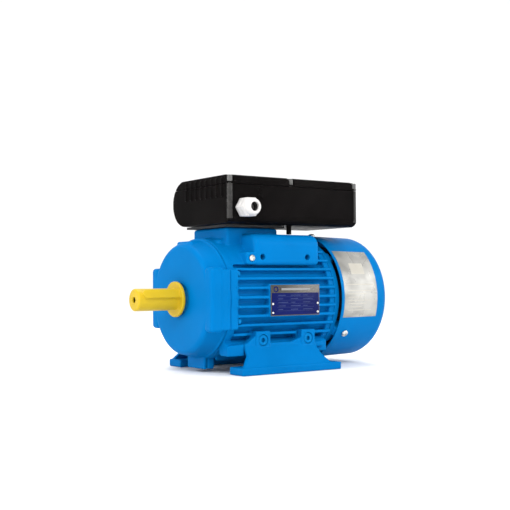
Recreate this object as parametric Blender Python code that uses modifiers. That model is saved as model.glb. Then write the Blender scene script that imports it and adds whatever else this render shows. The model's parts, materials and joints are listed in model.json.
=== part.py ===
"""Foot-mounted single-phase capacitor motor, IEC frame size 90L.

X runs along the shaft with the drive end at -X. The nameplate and the cable gland are on the -Y side,
and +Z is up.
Lengths are in millimetres from the shaft shoulder (x), the shaft's vertical plane (y) and the floor (z).
An empty carries every piece, and its offset puts the world origin under the middle of the motor's length.
"""

import math

import bmesh
import bpy
from mathutils import Matrix, Vector

MM = 0.001
GAP = 0.3  # clearance kept between neighbouring pieces
LARGE_STEPS = 40  # facets round the housing
SHIELD_STEPS = 32  # facets round the end shields and the cowl
SMALL_STEPS = 20  # facets round bearings, rings and other small turned pieces

# Standard frame dimensions
SHAFT_HEIGHT = 90.0
SHAFT_R = 12.0
SHAFT_LENGTH = 50.0
FOOT_HOLE_X = (56.0, 181.0)
FOOT_HOLE_Y = 70.0
FOOT_HOLE_R = 5.0
FOOT_OVERHANG = 12.5
FOOT_OUTER_Y = 87.5
FOOT_INNER_Y = 58.0
FOOT_FLANGE = 9.3
KEY_WIDTH = 8.0
KEY_HEIGHT = 7.0
KEY_X = (-46.0, -6.0)
KEY_ANGLE = math.radians(27.0)  # the rest position of the key above the horizontal

# Housing
FRAME_X = (36.0, 194.0)
BORE_R = 65.3
BARREL_R = 69.5
RING_R = 75.2
RING_REAR_X = 46.6
REAR_RING_X = 186.0
REAR_RING_R = 75.0
FIN_TIP_R = 78.5
FIN_PITCH = 11.2
FIN_THICKNESS = 4.2
FIN_X = (45.6, 193.6)
FIN_MID_Z = 92.3
CAP_X = (73.0, 172.0)
CAP_HALF_WIDTH = 72.0
CAP_TOP_Z = 169.5
CAP_BASE_Z = 131.0
CAP_CORNER_R = 14.0
RAIL_SECTION = ((46.0, 24.0), (50.0, 22.0), (62.0, 22.0), (62.0, 35.0), (54.0, 41.0), (46.0, 41.0))
RAIL_X = (36.5, 190.0)
WING_PLAN = ((36.2, 56.0), (36.2, 65.2), (37.2, 66.0), (57.0, 69.5), (57.0, 56.0))
WING_SIDE = ((30.0, 22.0), (30.0, 32.5), (36.2, 32.5), (39.0, 34.8), (60.0, 36.4), (60.0, 22.0))
FOOT_FACE_Y = 62.0
PEDESTAL_X = (53.0, 130.0)
PEDESTAL_HALF_WIDTH = 40.0
PEDESTAL_TOP_Z = 178.0
WINDOW_X = (72.0, 108.0)
WINDOW_HALF_WIDTH = 18.0
LUG_X = (84.1, 152.9)
LUG_Z = 40.0
LUG_LIMITS_Z = (28.0, 51.0)
LUG_HALF_WIDTH = 10.7
LUG_FACE_Y = 72.0
LUG_SEAT_Y = 67.0
UPPER_LUG_Z = 141.0
PLATE_X = (90.0, 165.0)
PLATE_Z = (69.0, 107.0)
PLATE_PAD_Y = 78.5

# End shields
SHIELD_FACE_X = 9.5
SPIGOT_R = 65.0
SHIELD_CAVITY_R = 60.8
LIP_R = 75.0
SIDE_PAD_Y = 74.0
SIDE_PAD_Z = (54.0, 126.0)
PAD_HALF_WIDTH = 73.0
PAD_HALF_HEIGHT = 38.5
PAD_REAR_X = 27.0
EAR_TOP_Z = 161.3
SHIELD_SCREW_R = 73.6
SHIELD_SCREW_DZ = (30.3, -25.7)
REAR_SCREW_R = 70.2
HUB_R = 31.5

# Bearings, 25 x 52 x 15
BEARING_BORE_R = 12.5
BEARING_R = 26.0
BEARING_WIDTH = 15.0
BALL_R = 3.97
BALL_PITCH_R = 19.25
BALL_COUNT = 9
DRIVE_BEARING_X = 15.0
REAR_BEARING_X = 203.0

# Stator and rotor
CORE_X = (62.0, 162.0)
STATOR_R = 65.0
STATOR_BORE_R = 35.7
SLOT_COUNT = 24
SLOT_OUTER_R = 56.0
SLOT_WIDTH = 5.6
SLOT_MOUTH = 2.8
COIL_INNER_R = 40.5
COIL_OUTER_R = 59.0
COIL_OVERHANG = 22.0
ROTOR_R = 35.3
BAR_COUNT = 20
BAR_PITCH_R = 30.6
BAR_R = 2.2
END_RING_R = (22.0, 33.6)
END_RING_LENGTH = 9.0
SHAFT_CORE_R = 15.0
SHAFT_REAR_X = 252.0
FAN_SEAT_R = 9.5

# Cowl and fan
COWL_X = (201.0, 285.0)
COWL_FRONT_R = 81.75
COWL_REAR_R = 80.0
COWL_ROUND = 16.0
COWL_SHEET = 1.5
COWL_SCREW_X = 216.0
COWL_SCREW_ANGLES = tuple(math.radians(a) for a in (90.0, -34.8, 214.8))
FAN_X = (226.0, 250.0)
FAN_TIP_R = 66.0
FAN_DISC_R = 68.0
FAN_BLADES = 8

# Terminal box
BOX_X = (38.5, 239.0)
BOX_NEAR_Y = -67.0
BOX_FAR_CENTRE = (37.5, 211.0)
BOX_FAR_R = 29.5
BOX_BOTTOM_Z = 181.3
BOX_SPLIT_Z = 229.0
BOX_TOP_Z = 240.0
BOX_WALL = 3.0
BOX_RIB_PITCH = 12.0
BOX_RIB_DEPTH = 1.5
CORNER_SCREWS = ((41.5, -64.1), (236.0, -64.1))
COVER_SCREWS = (*CORNER_SCREWS, (132.4, -63.8), (43.5, 50.0), (136.0, 50.0), (234.0, 50.0))
CORNER_COLUMN_R = 3.3
GLAND_X = 59.6
GLAND_Z = 200.3
GLAND_HEX_R = 12.7
GLAND_TIP_Y = -91.5
GLAND_BORE_R = 5.6

# Shaft sleeve
SLEEVE_TIP_X = -54.0
SLEEVE_R = 13.5
SLEEVE_COLLAR_X = (0.8, 4.7)
SLEEVE_COLLAR_R = 21.8

# Starting switch
GOVERNOR_PIVOT = (178.0, 23.0)
SWITCH_PIVOT = (193.1, 50.0)

MID_X = (SLEEVE_TIP_X + COWL_X[1]) / 2
AXIS = Vector((0.0, 0.0, SHAFT_HEIGHT))

BLUE = (0.0, 0.235, 0.62)
COLOURS = {
    "body_blue": (BLUE, 0.38, 0.0),
    "cowl_blue": (BLUE, 0.32, 0.1),
    "bearing_steel": ((0.62, 0.62, 0.63), 0.22, 1.0),
    "shaft_steel": ((0.5, 0.5, 0.51), 0.35, 1.0),
    "zinc": ((0.62, 0.62, 0.6), 0.35, 1.0),
    "lamination": ((0.22, 0.22, 0.24), 0.5, 0.9),
    "copper": ((0.66, 0.26, 0.1), 0.4, 0.6),
    "cage_aluminium": ((0.7, 0.7, 0.72), 0.4, 1.0),
    "box_black": ((0.012, 0.011, 0.011), 0.35, 0.0),
    "rubber": ((0.02, 0.02, 0.02), 0.7, 0.0),
    "capacitor": ((0.72, 0.72, 0.7), 0.45, 0.0),
    "fan_nylon": ((0.05, 0.05, 0.055), 0.55, 0.0),
    "sleeve_yellow": ((0.78, 0.56, 0.03), 0.38, 0.0),
    "gland_white": ((0.84, 0.84, 0.83), 0.4, 0.0),
    "plate_foil": ((0.03, 0.05, 0.3), 0.3, 0.6),
    "board_brown": ((0.3, 0.13, 0.05), 0.5, 0.0),
    "governor_plastic": ((0.55, 0.12, 0.05), 0.5, 0.0),
}


def clear_scene():
    for obj in list(bpy.data.objects):
        bpy.data.objects.remove(obj)


def new_collection(name, parent):
    collection = bpy.data.collections.new(name)
    parent.children.link(collection)
    return collection


def material(slot):
    if slot in bpy.data.materials:
        return bpy.data.materials[slot]
    colour, roughness, metallic = COLOURS[slot]
    made = bpy.data.materials.new(slot)
    made.use_nodes = True
    shader = made.node_tree.nodes["Principled BSDF"]
    shader.inputs["Base Color"].default_value = (*colour, 1.0)
    shader.inputs["Roughness"].default_value = roughness
    shader.inputs["Metallic"].default_value = metallic
    return made


clear_scene()
PARTS = new_collection("electric_motor", bpy.context.scene.collection)
CUTTERS = new_collection("cutters", bpy.context.scene.collection)
ROOT = bpy.data.objects.new("motor_origin", None)
ROOT.location = (-MID_X * MM, 0.0, 0.0)
PARTS.objects.link(ROOT)


def place(obj, slot=None, at=(0.0, 0.0, 0.0)):
    """Parents the object to the motor at a point: a part when it has a material slot, or else a cutter."""
    obj.location = Vector(at) * MM
    obj.parent = ROOT
    if slot is None:
        obj.hide_render = True
        obj.display_type = "WIRE"
        CUTTERS.objects.link(obj)
    else:
        if not obj.data.materials:
            obj.data.materials.append(material(slot))
        PARTS.objects.link(obj)
    return obj


def smooth(mesh, angle=35.0):
    mesh.shade_smooth()
    mesh.set_sharp_from_angle(angle=math.radians(angle))


def solid(name, shapes, slot=None, at=(0.0, 0.0, 0.0)):
    """An object made of shapes that stay clear of each other, in motor millimetres, with a given origin."""
    bm = bmesh.new()
    for shape in shapes:
        shape(bm)
    bmesh.ops.transform(bm, matrix=Matrix.Scale(MM, 4) @ Matrix.Translation(-Vector(at)), verts=bm.verts)
    mesh = bpy.data.meshes.new(name)
    bm.to_mesh(mesh)
    bm.free()
    smooth(mesh)
    return place(bpy.data.objects.new(name, mesh), slot, at)


def box(x, y, z):
    """A shape: a box between pairs of limits."""
    size = Matrix.Diagonal((x[1] - x[0], y[1] - y[0], z[1] - z[0], 1.0))
    centre = Matrix.Translation(((x[0] + x[1]) / 2, (y[0] + y[1]) / 2, (z[0] + z[1]) / 2))
    return lambda bm: bmesh.ops.create_cube(bm, size=1.0, matrix=centre @ size)


def turned_box(x, radial, half_width, angle):
    """A shape: a box along a radius of the shaft axis, at an angle from +Y towards +Z."""
    length = radial[1] - radial[0]
    size = Matrix.Diagonal((x[1] - x[0], length, 2 * half_width, 1.0))
    centre = Matrix.Translation(((x[0] + x[1]) / 2, (radial[0] + radial[1]) / 2, 0.0))
    turn = Matrix.Translation(AXIS) @ Matrix.Rotation(angle, 4, "X")
    return lambda bm: bmesh.ops.create_cube(bm, size=1.0, matrix=turn @ centre @ size)


def rod(start, end, radius, segments=16, end_radius=None):
    """A shape: a cylinder or cone between two points."""
    start, end = Vector(start), Vector(end)
    along = end - start
    turn = along.to_track_quat("Z", "Y").to_matrix().to_4x4()
    matrix = Matrix.Translation((start + end) / 2) @ turn
    tip = radius if end_radius is None else end_radius
    return lambda bm: bmesh.ops.create_cone(
        bm, cap_ends=True, segments=segments, radius1=radius, radius2=tip, depth=along.length, matrix=matrix
    )


def ball(centre, radius, segments=6, rings=5):
    """A shape: a sphere."""
    matrix = Matrix.Translation(centre)
    return lambda bm: bmesh.ops.create_uvsphere(
        bm, u_segments=segments, v_segments=rings, radius=radius, matrix=matrix
    )


def baked(obj):
    """The object's evaluated mesh, as a mesh of its own."""
    graph = bpy.context.evaluated_depsgraph_get()
    return bpy.data.meshes.new_from_object(obj.evaluated_get(graph))


def turned(name, profile, slot=None, steps=SMALL_STEPS, touches_axis=False, axis_z=SHAFT_HEIGHT):
    """A body of revolution about the shaft axis from (x, radius) points, closed unless it meets the axis."""
    points = [Vector((radius, 0.0, x)) * MM for x, radius in profile]
    area = sum(a.x * b.z - b.x * a.z for a, b in zip(points, points[1:] + points[:1]))
    if area > 0:
        points.reverse()
    edges = [(i, i + 1) for i in range(len(points) - 1)]
    if not touches_axis:
        edges.append((len(points) - 1, 0))
    mesh = bpy.data.meshes.new(name)
    mesh.from_pydata(points, edges, [])
    obj = bpy.data.objects.new(name, mesh)
    place(obj, slot, (0.0, 0.0, axis_z))
    obj.rotation_euler = (0.0, math.pi / 2, 0.0)
    screw = obj.modifiers.new("turn", "SCREW")
    screw.axis = "Z"
    screw.steps = steps
    screw.render_steps = steps
    screw.use_merge_vertices = True
    screw.merge_threshold = 0.00001
    screw.use_smooth_shade = True
    return obj


def prism(name, outlines, x, slot=None, plane="YZ"):
    """A flat outline with any holes, extruded over a range: of x for YZ, of y for XZ, of z for XY."""
    curve = bpy.data.curves.new(name, "CURVE")
    curve.dimensions = "2D"
    curve.fill_mode = "BOTH"
    curve.extrude = (x[1] - x[0]) / 2 * MM
    for outline in outlines:
        spline = curve.splines.new("POLY")
        spline.points.add(len(outline) - 1)
        spline.use_cyclic_u = True
        for point, (u, v) in zip(spline.points, outline):
            point.co = (u * MM, v * MM, 0.0, 1.0)
    flat = bpy.data.objects.new(name + "_outline", curve)
    CUTTERS.objects.link(flat)
    bpy.context.view_layer.update()
    mesh = baked(flat)
    bpy.data.objects.remove(flat)
    mesh.name = name
    turn = {
        "YZ": Matrix(((0, 0, 1, 0), (1, 0, 0, 0), (0, 1, 0, 0), (0, 0, 0, 1))),
        "XZ": Matrix(((1, 0, 0, 0), (0, 0, -1, 0), (0, 1, 0, 0), (0, 0, 0, 1))),
        "XY": Matrix.Identity(4),
    }[plane]
    middle = (x[0] + x[1]) / 2 * MM
    shift = {"YZ": (middle, 0, 0), "XZ": (0, middle, 0), "XY": (0, 0, middle)}[plane]
    bm = bmesh.new()
    bm.from_mesh(mesh)
    bmesh.ops.remove_doubles(bm, verts=bm.verts, dist=1e-6)
    bmesh.ops.transform(bm, matrix=Matrix.Translation(shift) @ turn, verts=bm.verts)
    bmesh.ops.recalc_face_normals(bm, faces=bm.faces)
    if len(outlines) == 1:
        bmesh.ops.dissolve_limit(bm, angle_limit=0.01, verts=bm.verts, edges=bm.edges)
    bm.to_mesh(mesh)
    bm.free()
    smooth(mesh)
    return place(bpy.data.objects.new(name, mesh), slot)


def arc(centre, radius, start, end, steps):
    """Points along an arc, its angles in degrees."""
    angles = [math.radians(start + (end - start) * i / steps) for i in range(steps + 1)]
    return [(centre[0] + radius * math.cos(a), centre[1] + radius * math.sin(a)) for a in angles]


def circle(centre, radius, steps):
    return arc(centre, radius, 0.0, 360.0, steps)[:-1]


def combine(obj, operation, *others):
    """Adds one Boolean modifier for each of the other objects."""
    for other in others:
        modifier = obj.modifiers.new(f"{operation.lower()}_{other.name}"[:60], "BOOLEAN")
        modifier.operation = operation
        modifier.object = other
    return obj


def bevelled(obj, width, segments=2, angle=40.0):
    """Puts a Bevel first in the stack, on the object's own shape."""
    modifier = obj.modifiers.new("bevel", "BEVEL")
    modifier.width = width * MM
    modifier.segments = segments
    modifier.limit_method = "ANGLE"
    modifier.angle_limit = math.radians(angle)
    return obj


def fixed(obj):
    """Replaces the object's modifiers by their result, so that copies can share its mesh."""
    bpy.context.view_layer.update()
    mesh = baked(obj)
    obj.modifiers.clear()
    obj.data = mesh
    return obj


def radial_point(x, radius, angle):
    return (x, radius * math.cos(angle), SHAFT_HEIGHT + radius * math.sin(angle))


def span(side, inner, outer):
    """The limits between two distances from the shaft's vertical plane, on one side of it."""
    return (min(side * inner, side * outer), max(side * inner, side * outer))


def screw_mesh(name, head_r, head_h, shank_r, length, socket_r, slot):
    """The mesh of a screw whose head rises from the origin along +Z and whose shank goes down it."""
    head = solid(name + "_head", [rod((0, 0, 0), (0, 0, head_h), head_r, 10)])
    shank = solid(name + "_shank", [rod((0, 0, -length), (0, 0, head_h / 2), shank_r, 6)])
    socket = solid(name + "_socket", [rod((0, 0, head_h * 0.45), (0, 0, head_h + 1), socket_r, 6)])
    combine(head, "UNION", shank)
    combine(head, "DIFFERENCE", socket)
    fixed(head)
    mesh = head.data
    mesh.name = name
    mesh.materials.clear()
    mesh.materials.append(material(slot))
    smooth(mesh)
    for helper in (head, shank, socket):
        bpy.data.objects.remove(helper)
    return mesh


def screw(name, mesh, at, head_towards, slot="zinc"):
    obj = bpy.data.objects.new(name, mesh)
    place(obj, slot, at)
    obj.rotation_euler = Vector(head_towards).to_track_quat("Z", "Y").to_euler()
    return obj


# ---------------------------------------------------------------- housing


def frame():
    ring = [
        (FRAME_X[0], BORE_R),
        (FRAME_X[0], RING_R),
        (RING_REAR_X, RING_R),
        (RING_REAR_X, BARREL_R),
        (REAR_RING_X, BARREL_R),
        (REAR_RING_X, REAR_RING_R),
        (FRAME_X[1], REAR_RING_R),
        (FRAME_X[1], BORE_R),
    ]
    body = turned("frame", ring, "body_blue", LARGE_STEPS)
    fixed(body)
    fins = []
    for index in range(-4, 6):
        z = FIN_MID_Z + index * FIN_PITCH
        reach = math.sqrt(FIN_TIP_R**2 - (z - SHAFT_HEIGHT) ** 2)
        half = FIN_THICKNESS / 2
        for side in (-1, 1):
            inner, outer = side * (reach - 22.0), side * reach
            y = (min(inner, outer), max(inner, outer))
            x = FIN_X if z < CAP_BASE_Z else (CAP_X[1] - 5, FIN_X[1])
            fins.append(box(x, y, (z - half, z + half)))
    for index in range(-3, 4):
        y = index * 12.0
        reach = math.sqrt(FIN_TIP_R**2 - y**2)
        z = (SHAFT_HEIGHT - reach, SHAFT_HEIGHT - reach + 20.0)
        fins.append(box(FIN_X, (y - 2.1, y + 2.1), z))
    fin_block = solid("frame_fins", fins)

    corner = CAP_HALF_WIDTH - CAP_CORNER_R
    cap_outline = [(-CAP_HALF_WIDTH, CAP_BASE_Z), (CAP_HALF_WIDTH, CAP_BASE_Z)]
    cap_outline += arc((corner, CAP_TOP_Z - CAP_CORNER_R), CAP_CORNER_R, 0, 90, 4)
    cap_outline += arc((-corner, CAP_TOP_Z - CAP_CORNER_R), CAP_CORNER_R, 90, 180, 4)
    cap = bevelled(prism("frame_cap", [cap_outline], CAP_X), 3.0, 1)
    ridge_box = box((FRAME_X[0] + 8, REAR_RING_X + 2), (-34, 34), (130, CAP_TOP_Z - 6))
    ridge = bevelled(solid("frame_ridge", [ridge_box]), 4.0, 1)
    rails, bosses, wing_ends, rooms, side_pads = [], [], [], [], []
    for side in (-1, 1):
        side_pads.append(box((36.1, RING_REAR_X - 0.1), span(side, 60, SIDE_PAD_Y), SIDE_PAD_Z))
        rails.append(prism(f"frame_rail_{side}", [[(side * y, z) for y, z in RAIL_SECTION]], RAIL_X))
        wing = prism(f"frame_wing_{side}", [[(x, side * y) for x, y in WING_PLAN]], (20, 40), plane="XY")
        side_view = prism(f"frame_wing_side_{side}", [WING_SIDE], span(side, 50, 75), plane="XZ")
        rails.append(combine(wing, "INTERSECT", side_view))
        wing_ends.append(box((166.4, 181.0), span(side, 56, 66), (28, 35)))
        for x in LUG_X:
            bosses.append(box((x - 11.5, x + 11.5), span(side, 44, FOOT_FACE_Y), LUG_LIMITS_Z))
        for x in ((64, 98), (139, 166)):
            rooms.append(box(x, span(side, FOOT_FACE_Y, 68), (44, 52)))
    pedestal = bevelled(
        solid(
            "frame_pedestal",
            [box(PEDESTAL_X, (-PEDESTAL_HALF_WIDTH, PEDESTAL_HALF_WIDTH), (150, PEDESTAL_TOP_Z))],
        ),
        3.0,
        1,
    )
    cone = [(FIN_X[0], 68.0), (FIN_X[0], 75.0), (CAP_X[0] + 1, 78.8), (CAP_X[0] + 1, 68.0)]
    shoulder = turned("frame_shoulder", cone, None, 48)
    upper = solid("frame_upper_limit", [box((40, 80), (-85, 85), (CAP_BASE_Z + 0.5, 175))])
    combine(shoulder, "INTERSECT", upper)
    plate_pad = solid("frame_plate_pad", [box((89, 166), (-PLATE_PAD_Y, -64), (68, 108))])
    earth_boss = bevelled(solid("frame_earth_boss", [box((61, 76), (-71, -48), (132, 147))]), 2.0, 1)
    bottom_lug = bevelled(solid("frame_bottom_lug", [box((36.5, RING_REAR_X), (-20, 20), (4, 30))]), 2.0, 1)
    boss_block, wing_block = solid("frame_foot_bosses", bosses), solid("frame_wing_ends", wing_ends)
    combine(body, "UNION", solid("frame_side_pads", side_pads), fin_block, *rails, boss_block, wing_block)
    combine(body, "DIFFERENCE", solid("frame_foot_rooms", rooms))
    combine(body, "UNION", shoulder, cap, ridge, pedestal, plate_pad, earth_boss, bottom_lug)

    bore = turned("frame_bore", [(30, 0), (30, BORE_R), (200, BORE_R), (200, 0)], None, LARGE_STEPS, True)
    window = solid(
        "frame_window", [box(WINDOW_X, (-WINDOW_HALF_WIDTH, WINDOW_HALF_WIDTH), (130, PEDESTAL_TOP_Z + 5))]
    )
    holes, head_rooms = [], []
    for dz in SHIELD_SCREW_DZ:
        y = math.sqrt(SHIELD_SCREW_R**2 - dz**2)
        for side in (-1, 1):
            z = SHAFT_HEIGHT + dz
            holes.append(rod((30, side * y, z), (50, side * y, z), 2.8, 12))
            near, far = (RING_REAR_X + 0.05, side * y, z), (RING_REAR_X + 6, side * y, z)
            head_rooms.append(rod(near, far, 4.8, 12))
    for quarter in range(4):
        angle = math.radians(45 + 90 * quarter)
        near, far = radial_point(178, REAR_SCREW_R, angle), radial_point(200, REAR_SCREW_R, angle)
        holes.append(rod(near, far, 2.8, 12))
    for x in LUG_X:
        for side in (-1, 1):
            holes.append(rod((x, side * 52, LUG_Z), (x, side * 64, LUG_Z), 4.3, 12))
            holes.append(rod((x, side * 62, UPPER_LUG_Z), (x, side * 80, UPPER_LUG_Z), 3.6, 12))
    holes.append(rod((68.5, -59, 139.5), (68.5, -75, 139.5), 2.8, 12))
    hole_block = solid("frame_holes", holes)
    combine(body, "DIFFERENCE", window, solid("frame_head_rooms", head_rooms), hole_block, bore)
    return body


def drive_end_shield():
    edge = arc((SHIELD_FACE_X + 7, 62.0), 7.0, 180, 90, 2)
    profile = [(SHIELD_FACE_X, 18.3), *edge, (32.0, 72.8), (32.6, 74.4), (33.4, LIP_R), (35.7, LIP_R)]
    profile += [(35.7, SPIGOT_R), (41.0, SPIGOT_R)]
    profile += [(41.0, SHIELD_CAVITY_R), (22.0, SHIELD_CAVITY_R), (14.5, 53.0)]
    profile += [(14.5, HUB_R), (31.0, HUB_R), (31.0, BEARING_R + GAP), (14.7, BEARING_R + GAP), (14.7, 18.3)]
    body = fixed(turned("drive_end_shield", profile, "body_blue", SHIELD_STEPS))
    z = (SHAFT_HEIGHT - PAD_HALF_HEIGHT, SHAFT_HEIGHT + PAD_HALF_HEIGHT)
    x = (SHIELD_FACE_X + 0.1, PAD_REAR_X)
    pad_boxes = [box(x, span(side, 56, PAD_HALF_WIDTH), z) for side in (-1, 1)]
    pads = bevelled(solid("shield_pads", pad_boxes), 4.0, 2)
    ear = bevelled(solid("shield_ear", [box((15, 35.7), (-18, 18), (SHAFT_HEIGHT + 62, EAR_TOP_Z))]), 2.5, 2)
    lug = solid("shield_lug", [box((31.5, 35.7), (-20, 20), (4, 22))])
    side_boxes = [box((PAD_REAR_X - 3, 35.6), span(side, 58, SIDE_PAD_Y), SIDE_PAD_Z) for side in (-1, 1)]
    combine(body, "UNION", pads, ear, lug, solid("shield_side_pads", side_boxes))
    holes = []
    for dz in SHIELD_SCREW_DZ:
        y = math.sqrt(SHIELD_SCREW_R**2 - dz**2)
        for side in (-1, 1):
            centre = SHAFT_HEIGHT + dz
            holes.append(rod((20, side * y, centre), (40, side * y, centre), 2.8, 12))
    combine(body, "DIFFERENCE", solid("shield_holes", holes))
    return body


def rear_end_shield():
    profile = [(189.5, SHIELD_CAVITY_R), (189.5, SPIGOT_R), (194.3, SPIGOT_R), (194.3, REAR_RING_R)]
    profile += [(201.5, REAR_RING_R), (205.0, 69.0), (205.0, 35.0), (208.0, HUB_R), (222.0, HUB_R)]
    profile += [(222.0, 13.2), (219.5, 13.2), (219.5, BEARING_R + GAP)]
    profile += [(198.0, BEARING_R + GAP), (198.0, HUB_R), (200.0, 35.0)]
    profile += [(200.0, SHIELD_CAVITY_R)]
    body = fixed(turned("rear_end_shield", profile, "body_blue", SHIELD_STEPS))
    arms, holes = [], []
    for angle in COWL_SCREW_ANGLES:
        arms.append(turned_box((201, 222), (62, 79.0), 6.0, angle))
        near, far = radial_point(COWL_SCREW_X, 66, angle), radial_point(COWL_SCREW_X, 82, angle)
        holes.append(rod(near, far, 2.8, 12))
    for quarter in range(4):
        across = math.radians(45 + 90 * quarter)
        near, far = radial_point(190, REAR_SCREW_R, across), radial_point(206, REAR_SCREW_R, across)
        holes.append(rod(near, far, 2.8, 12))
    pads = [turned_box((194.3, 205), (61.5, 75), 6.0, math.radians(45 + 90 * i)) for i in range(4)]
    arm_block = solid("rear_shield_arms", arms)
    pad_block = solid("rear_shield_pads", pads)
    combine(body, "UNION", arm_block, pad_block)
    combine(body, "DIFFERENCE", solid("rear_shield_holes", holes))
    return body


def foot(name, side):
    """One foot: a drilled flange with an upright plate that bolts to the housing's rail."""
    x = (FOOT_HOLE_X[0] - FOOT_OVERHANG, FOOT_HOLE_X[1] + FOOT_OVERHANG)
    flange = solid(name, [box(x, span(side, FOOT_INNER_Y, FOOT_OUTER_Y), (0, FOOT_FLANGE))], "body_blue")
    bevelled(flange, 1.2, 1)
    inner = FOOT_FACE_Y + GAP
    section = [(inner, 4.0), (86.3, 4.0), (86.3, 8.3), (84.5, 11.5), (70.5, 34.2)]
    section += [(70.5, 52.0), (inner, 52.0)]
    upright = prism(name + "_upright", [[(side * y, z) for y, z in section]], (44.0, 182.0))
    outline = [(47, 2), (178, 2), (178, 9.5), (168, 20.6), (165.2, 27.5), (165.2, 36), (160, 46), (146, 46)]
    outline += [(141, 41), (128, 36.5), (97, 36.5), (92, 46), (76, 47.3), (68.4, 42.1)]
    outline += [(62.5, 37.6), (57.6, 36), (57.6, 22), (47, 9.5)]
    window = prism(name + "_side_view", [outline], span(side, 55, 95), plane="XZ")
    combine(upright, "INTERSECT", window)
    half = LUG_HALF_WIDTH
    pads = [box((x - half, x + half), span(side, inner, LUG_FACE_Y), LUG_LIMITS_Z) for x in LUG_X]
    combine(flange, "UNION", upright, solid(name + "_pads", pads))
    pocket = [(61, FOOT_FLANGE - 0.1), (80.6, FOOT_FLANGE - 0.1), (67.2, 31), (61, 31)]
    for end, limits in enumerate(((40, 66.5), (170.5, 185))):
        room = prism(f"{name}_pocket_{end}", [[(side * y, z) for y, z in pocket]], limits)
        combine(flange, "DIFFERENCE", room)
    y = side * FOOT_HOLE_Y
    holes = [rod((x, y, -2), (x, y, 12), FOOT_HOLE_R, 16) for x in FOOT_HOLE_X]
    holes += [rod((x, side * 60, LUG_Z), (x, side * 68, LUG_Z), 4.4, 10) for x in LUG_X]
    bores = [rod((x, side * LUG_SEAT_Y, LUG_Z), (x, side * 84, LUG_Z), 7.0, 14) for x in LUG_X]
    combine(flange, "DIFFERENCE", solid(name + "_holes", holes), solid(name + "_bores", bores))
    return flange


def housing_screws():
    foot_bolt = screw_mesh("foot_bolt", 6.4, 4.2, 4.0, 12.0, 3.0, "body_blue")
    number = 0
    for side in (-1, 1):
        for x in LUG_X:
            number += 1
            screw(f"foot_bolt_{number}", foot_bolt, (x, side * (LUG_SEAT_Y + GAP), LUG_Z), (0, side, 0))
    shield_screw = screw_mesh("shield_screw", 4.2, 4.5, 2.5, 20.0, 2.1, "body_blue")
    number = 0
    for dz in SHIELD_SCREW_DZ:
        y = math.sqrt(SHIELD_SCREW_R**2 - dz**2)
        for side in (-1, 1):
            number += 1
            at = (RING_REAR_X + GAP, side * y, SHAFT_HEIGHT + dz)
            screw(f"drive_shield_screw_{number}", shield_screw, at, (1, 0, 0))
    for quarter in range(4):
        at = radial_point(205.0 + GAP, REAR_SCREW_R, math.radians(45 + 90 * quarter))
        screw(f"rear_shield_screw_{quarter + 1}", shield_screw, at, (1, 0, 0))
    earth = screw_mesh("earth_screw", 4.6, 3.2, 2.5, 9.0, 2.2, "zinc")
    screw("earth_screw", earth, (68.5, -71.0 - GAP, 139.5), (0, -1, 0))


def nameplate():
    y = (-PLATE_PAD_Y - 1.1, -PLATE_PAD_Y - GAP)
    return solid("nameplate", [box(PLATE_X, y, PLATE_Z)], "plate_foil")


# ---------------------------------------------------------------- stator


def slot_outline():
    """The stator bore with its slots, point by point round the circle."""
    points = []
    for index in range(SLOT_COUNT):
        centre = 2 * math.pi * index / SLOT_COUNT
        for radius, offset in (
            (STATOR_BORE_R, -SLOT_MOUTH / 2),
            (STATOR_BORE_R + 2.4, -SLOT_MOUTH / 2),
            (STATOR_BORE_R + 3.2, -SLOT_WIDTH / 2),
            (SLOT_OUTER_R, -SLOT_WIDTH / 2),
            (SLOT_OUTER_R, SLOT_WIDTH / 2),
            (STATOR_BORE_R + 3.2, SLOT_WIDTH / 2),
            (STATOR_BORE_R + 2.4, SLOT_MOUTH / 2),
            (STATOR_BORE_R, SLOT_MOUTH / 2),
        ):
            y = radius * math.cos(centre) - offset * math.sin(centre)
            z = radius * math.sin(centre) + offset * math.cos(centre)
            points.append((y, SHAFT_HEIGHT + z))
    return points


def stator_core():
    outer = circle((0.0, SHAFT_HEIGHT), STATOR_R, 60)
    return prism("stator_core", [outer, slot_outline()], CORE_X, "lamination")


def stator_winding():
    """Both overhangs and the conductors in every slot, as one solid."""
    front = CORE_X[0] - GAP
    rear = CORE_X[1] + GAP

    def overhang(name, x, slot=None):
        low, high = x
        ring = [(low, COIL_INNER_R + 5), (low + 5, COIL_INNER_R), (high, COIL_INNER_R), (high, 56.0)]
        ring += [(high - 4, COIL_OUTER_R), (low + 6, COIL_OUTER_R), (low, COIL_OUTER_R - 6)]
        return turned(name, ring, slot, SMALL_STEPS)

    winding = fixed(overhang("stator_winding", (front - COIL_OVERHANG, front), "copper"))
    rear_ring = [(rear, COIL_INNER_R), (rear, 56.0), (rear + 4, COIL_OUTER_R), (rear + 16, COIL_OUTER_R)]
    rear_ring += [(rear + 22, COIL_OUTER_R - 6), (rear + 22, COIL_INNER_R + 5), (rear + 17, COIL_INNER_R)]
    rear_coil = turned("winding_rear", rear_ring, None, SMALL_STEPS)
    bars = []
    for index in range(SLOT_COUNT):
        angle = 2 * math.pi * index / SLOT_COUNT
        bars.append(turned_box((front - 4, rear + 4), (STATOR_BORE_R + 5.5, SLOT_OUTER_R - 0.6), 2.3, angle))
    combine(winding, "UNION", rear_coil, solid("winding_bars", bars))
    return winding


# ---------------------------------------------------------------- rotor


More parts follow.
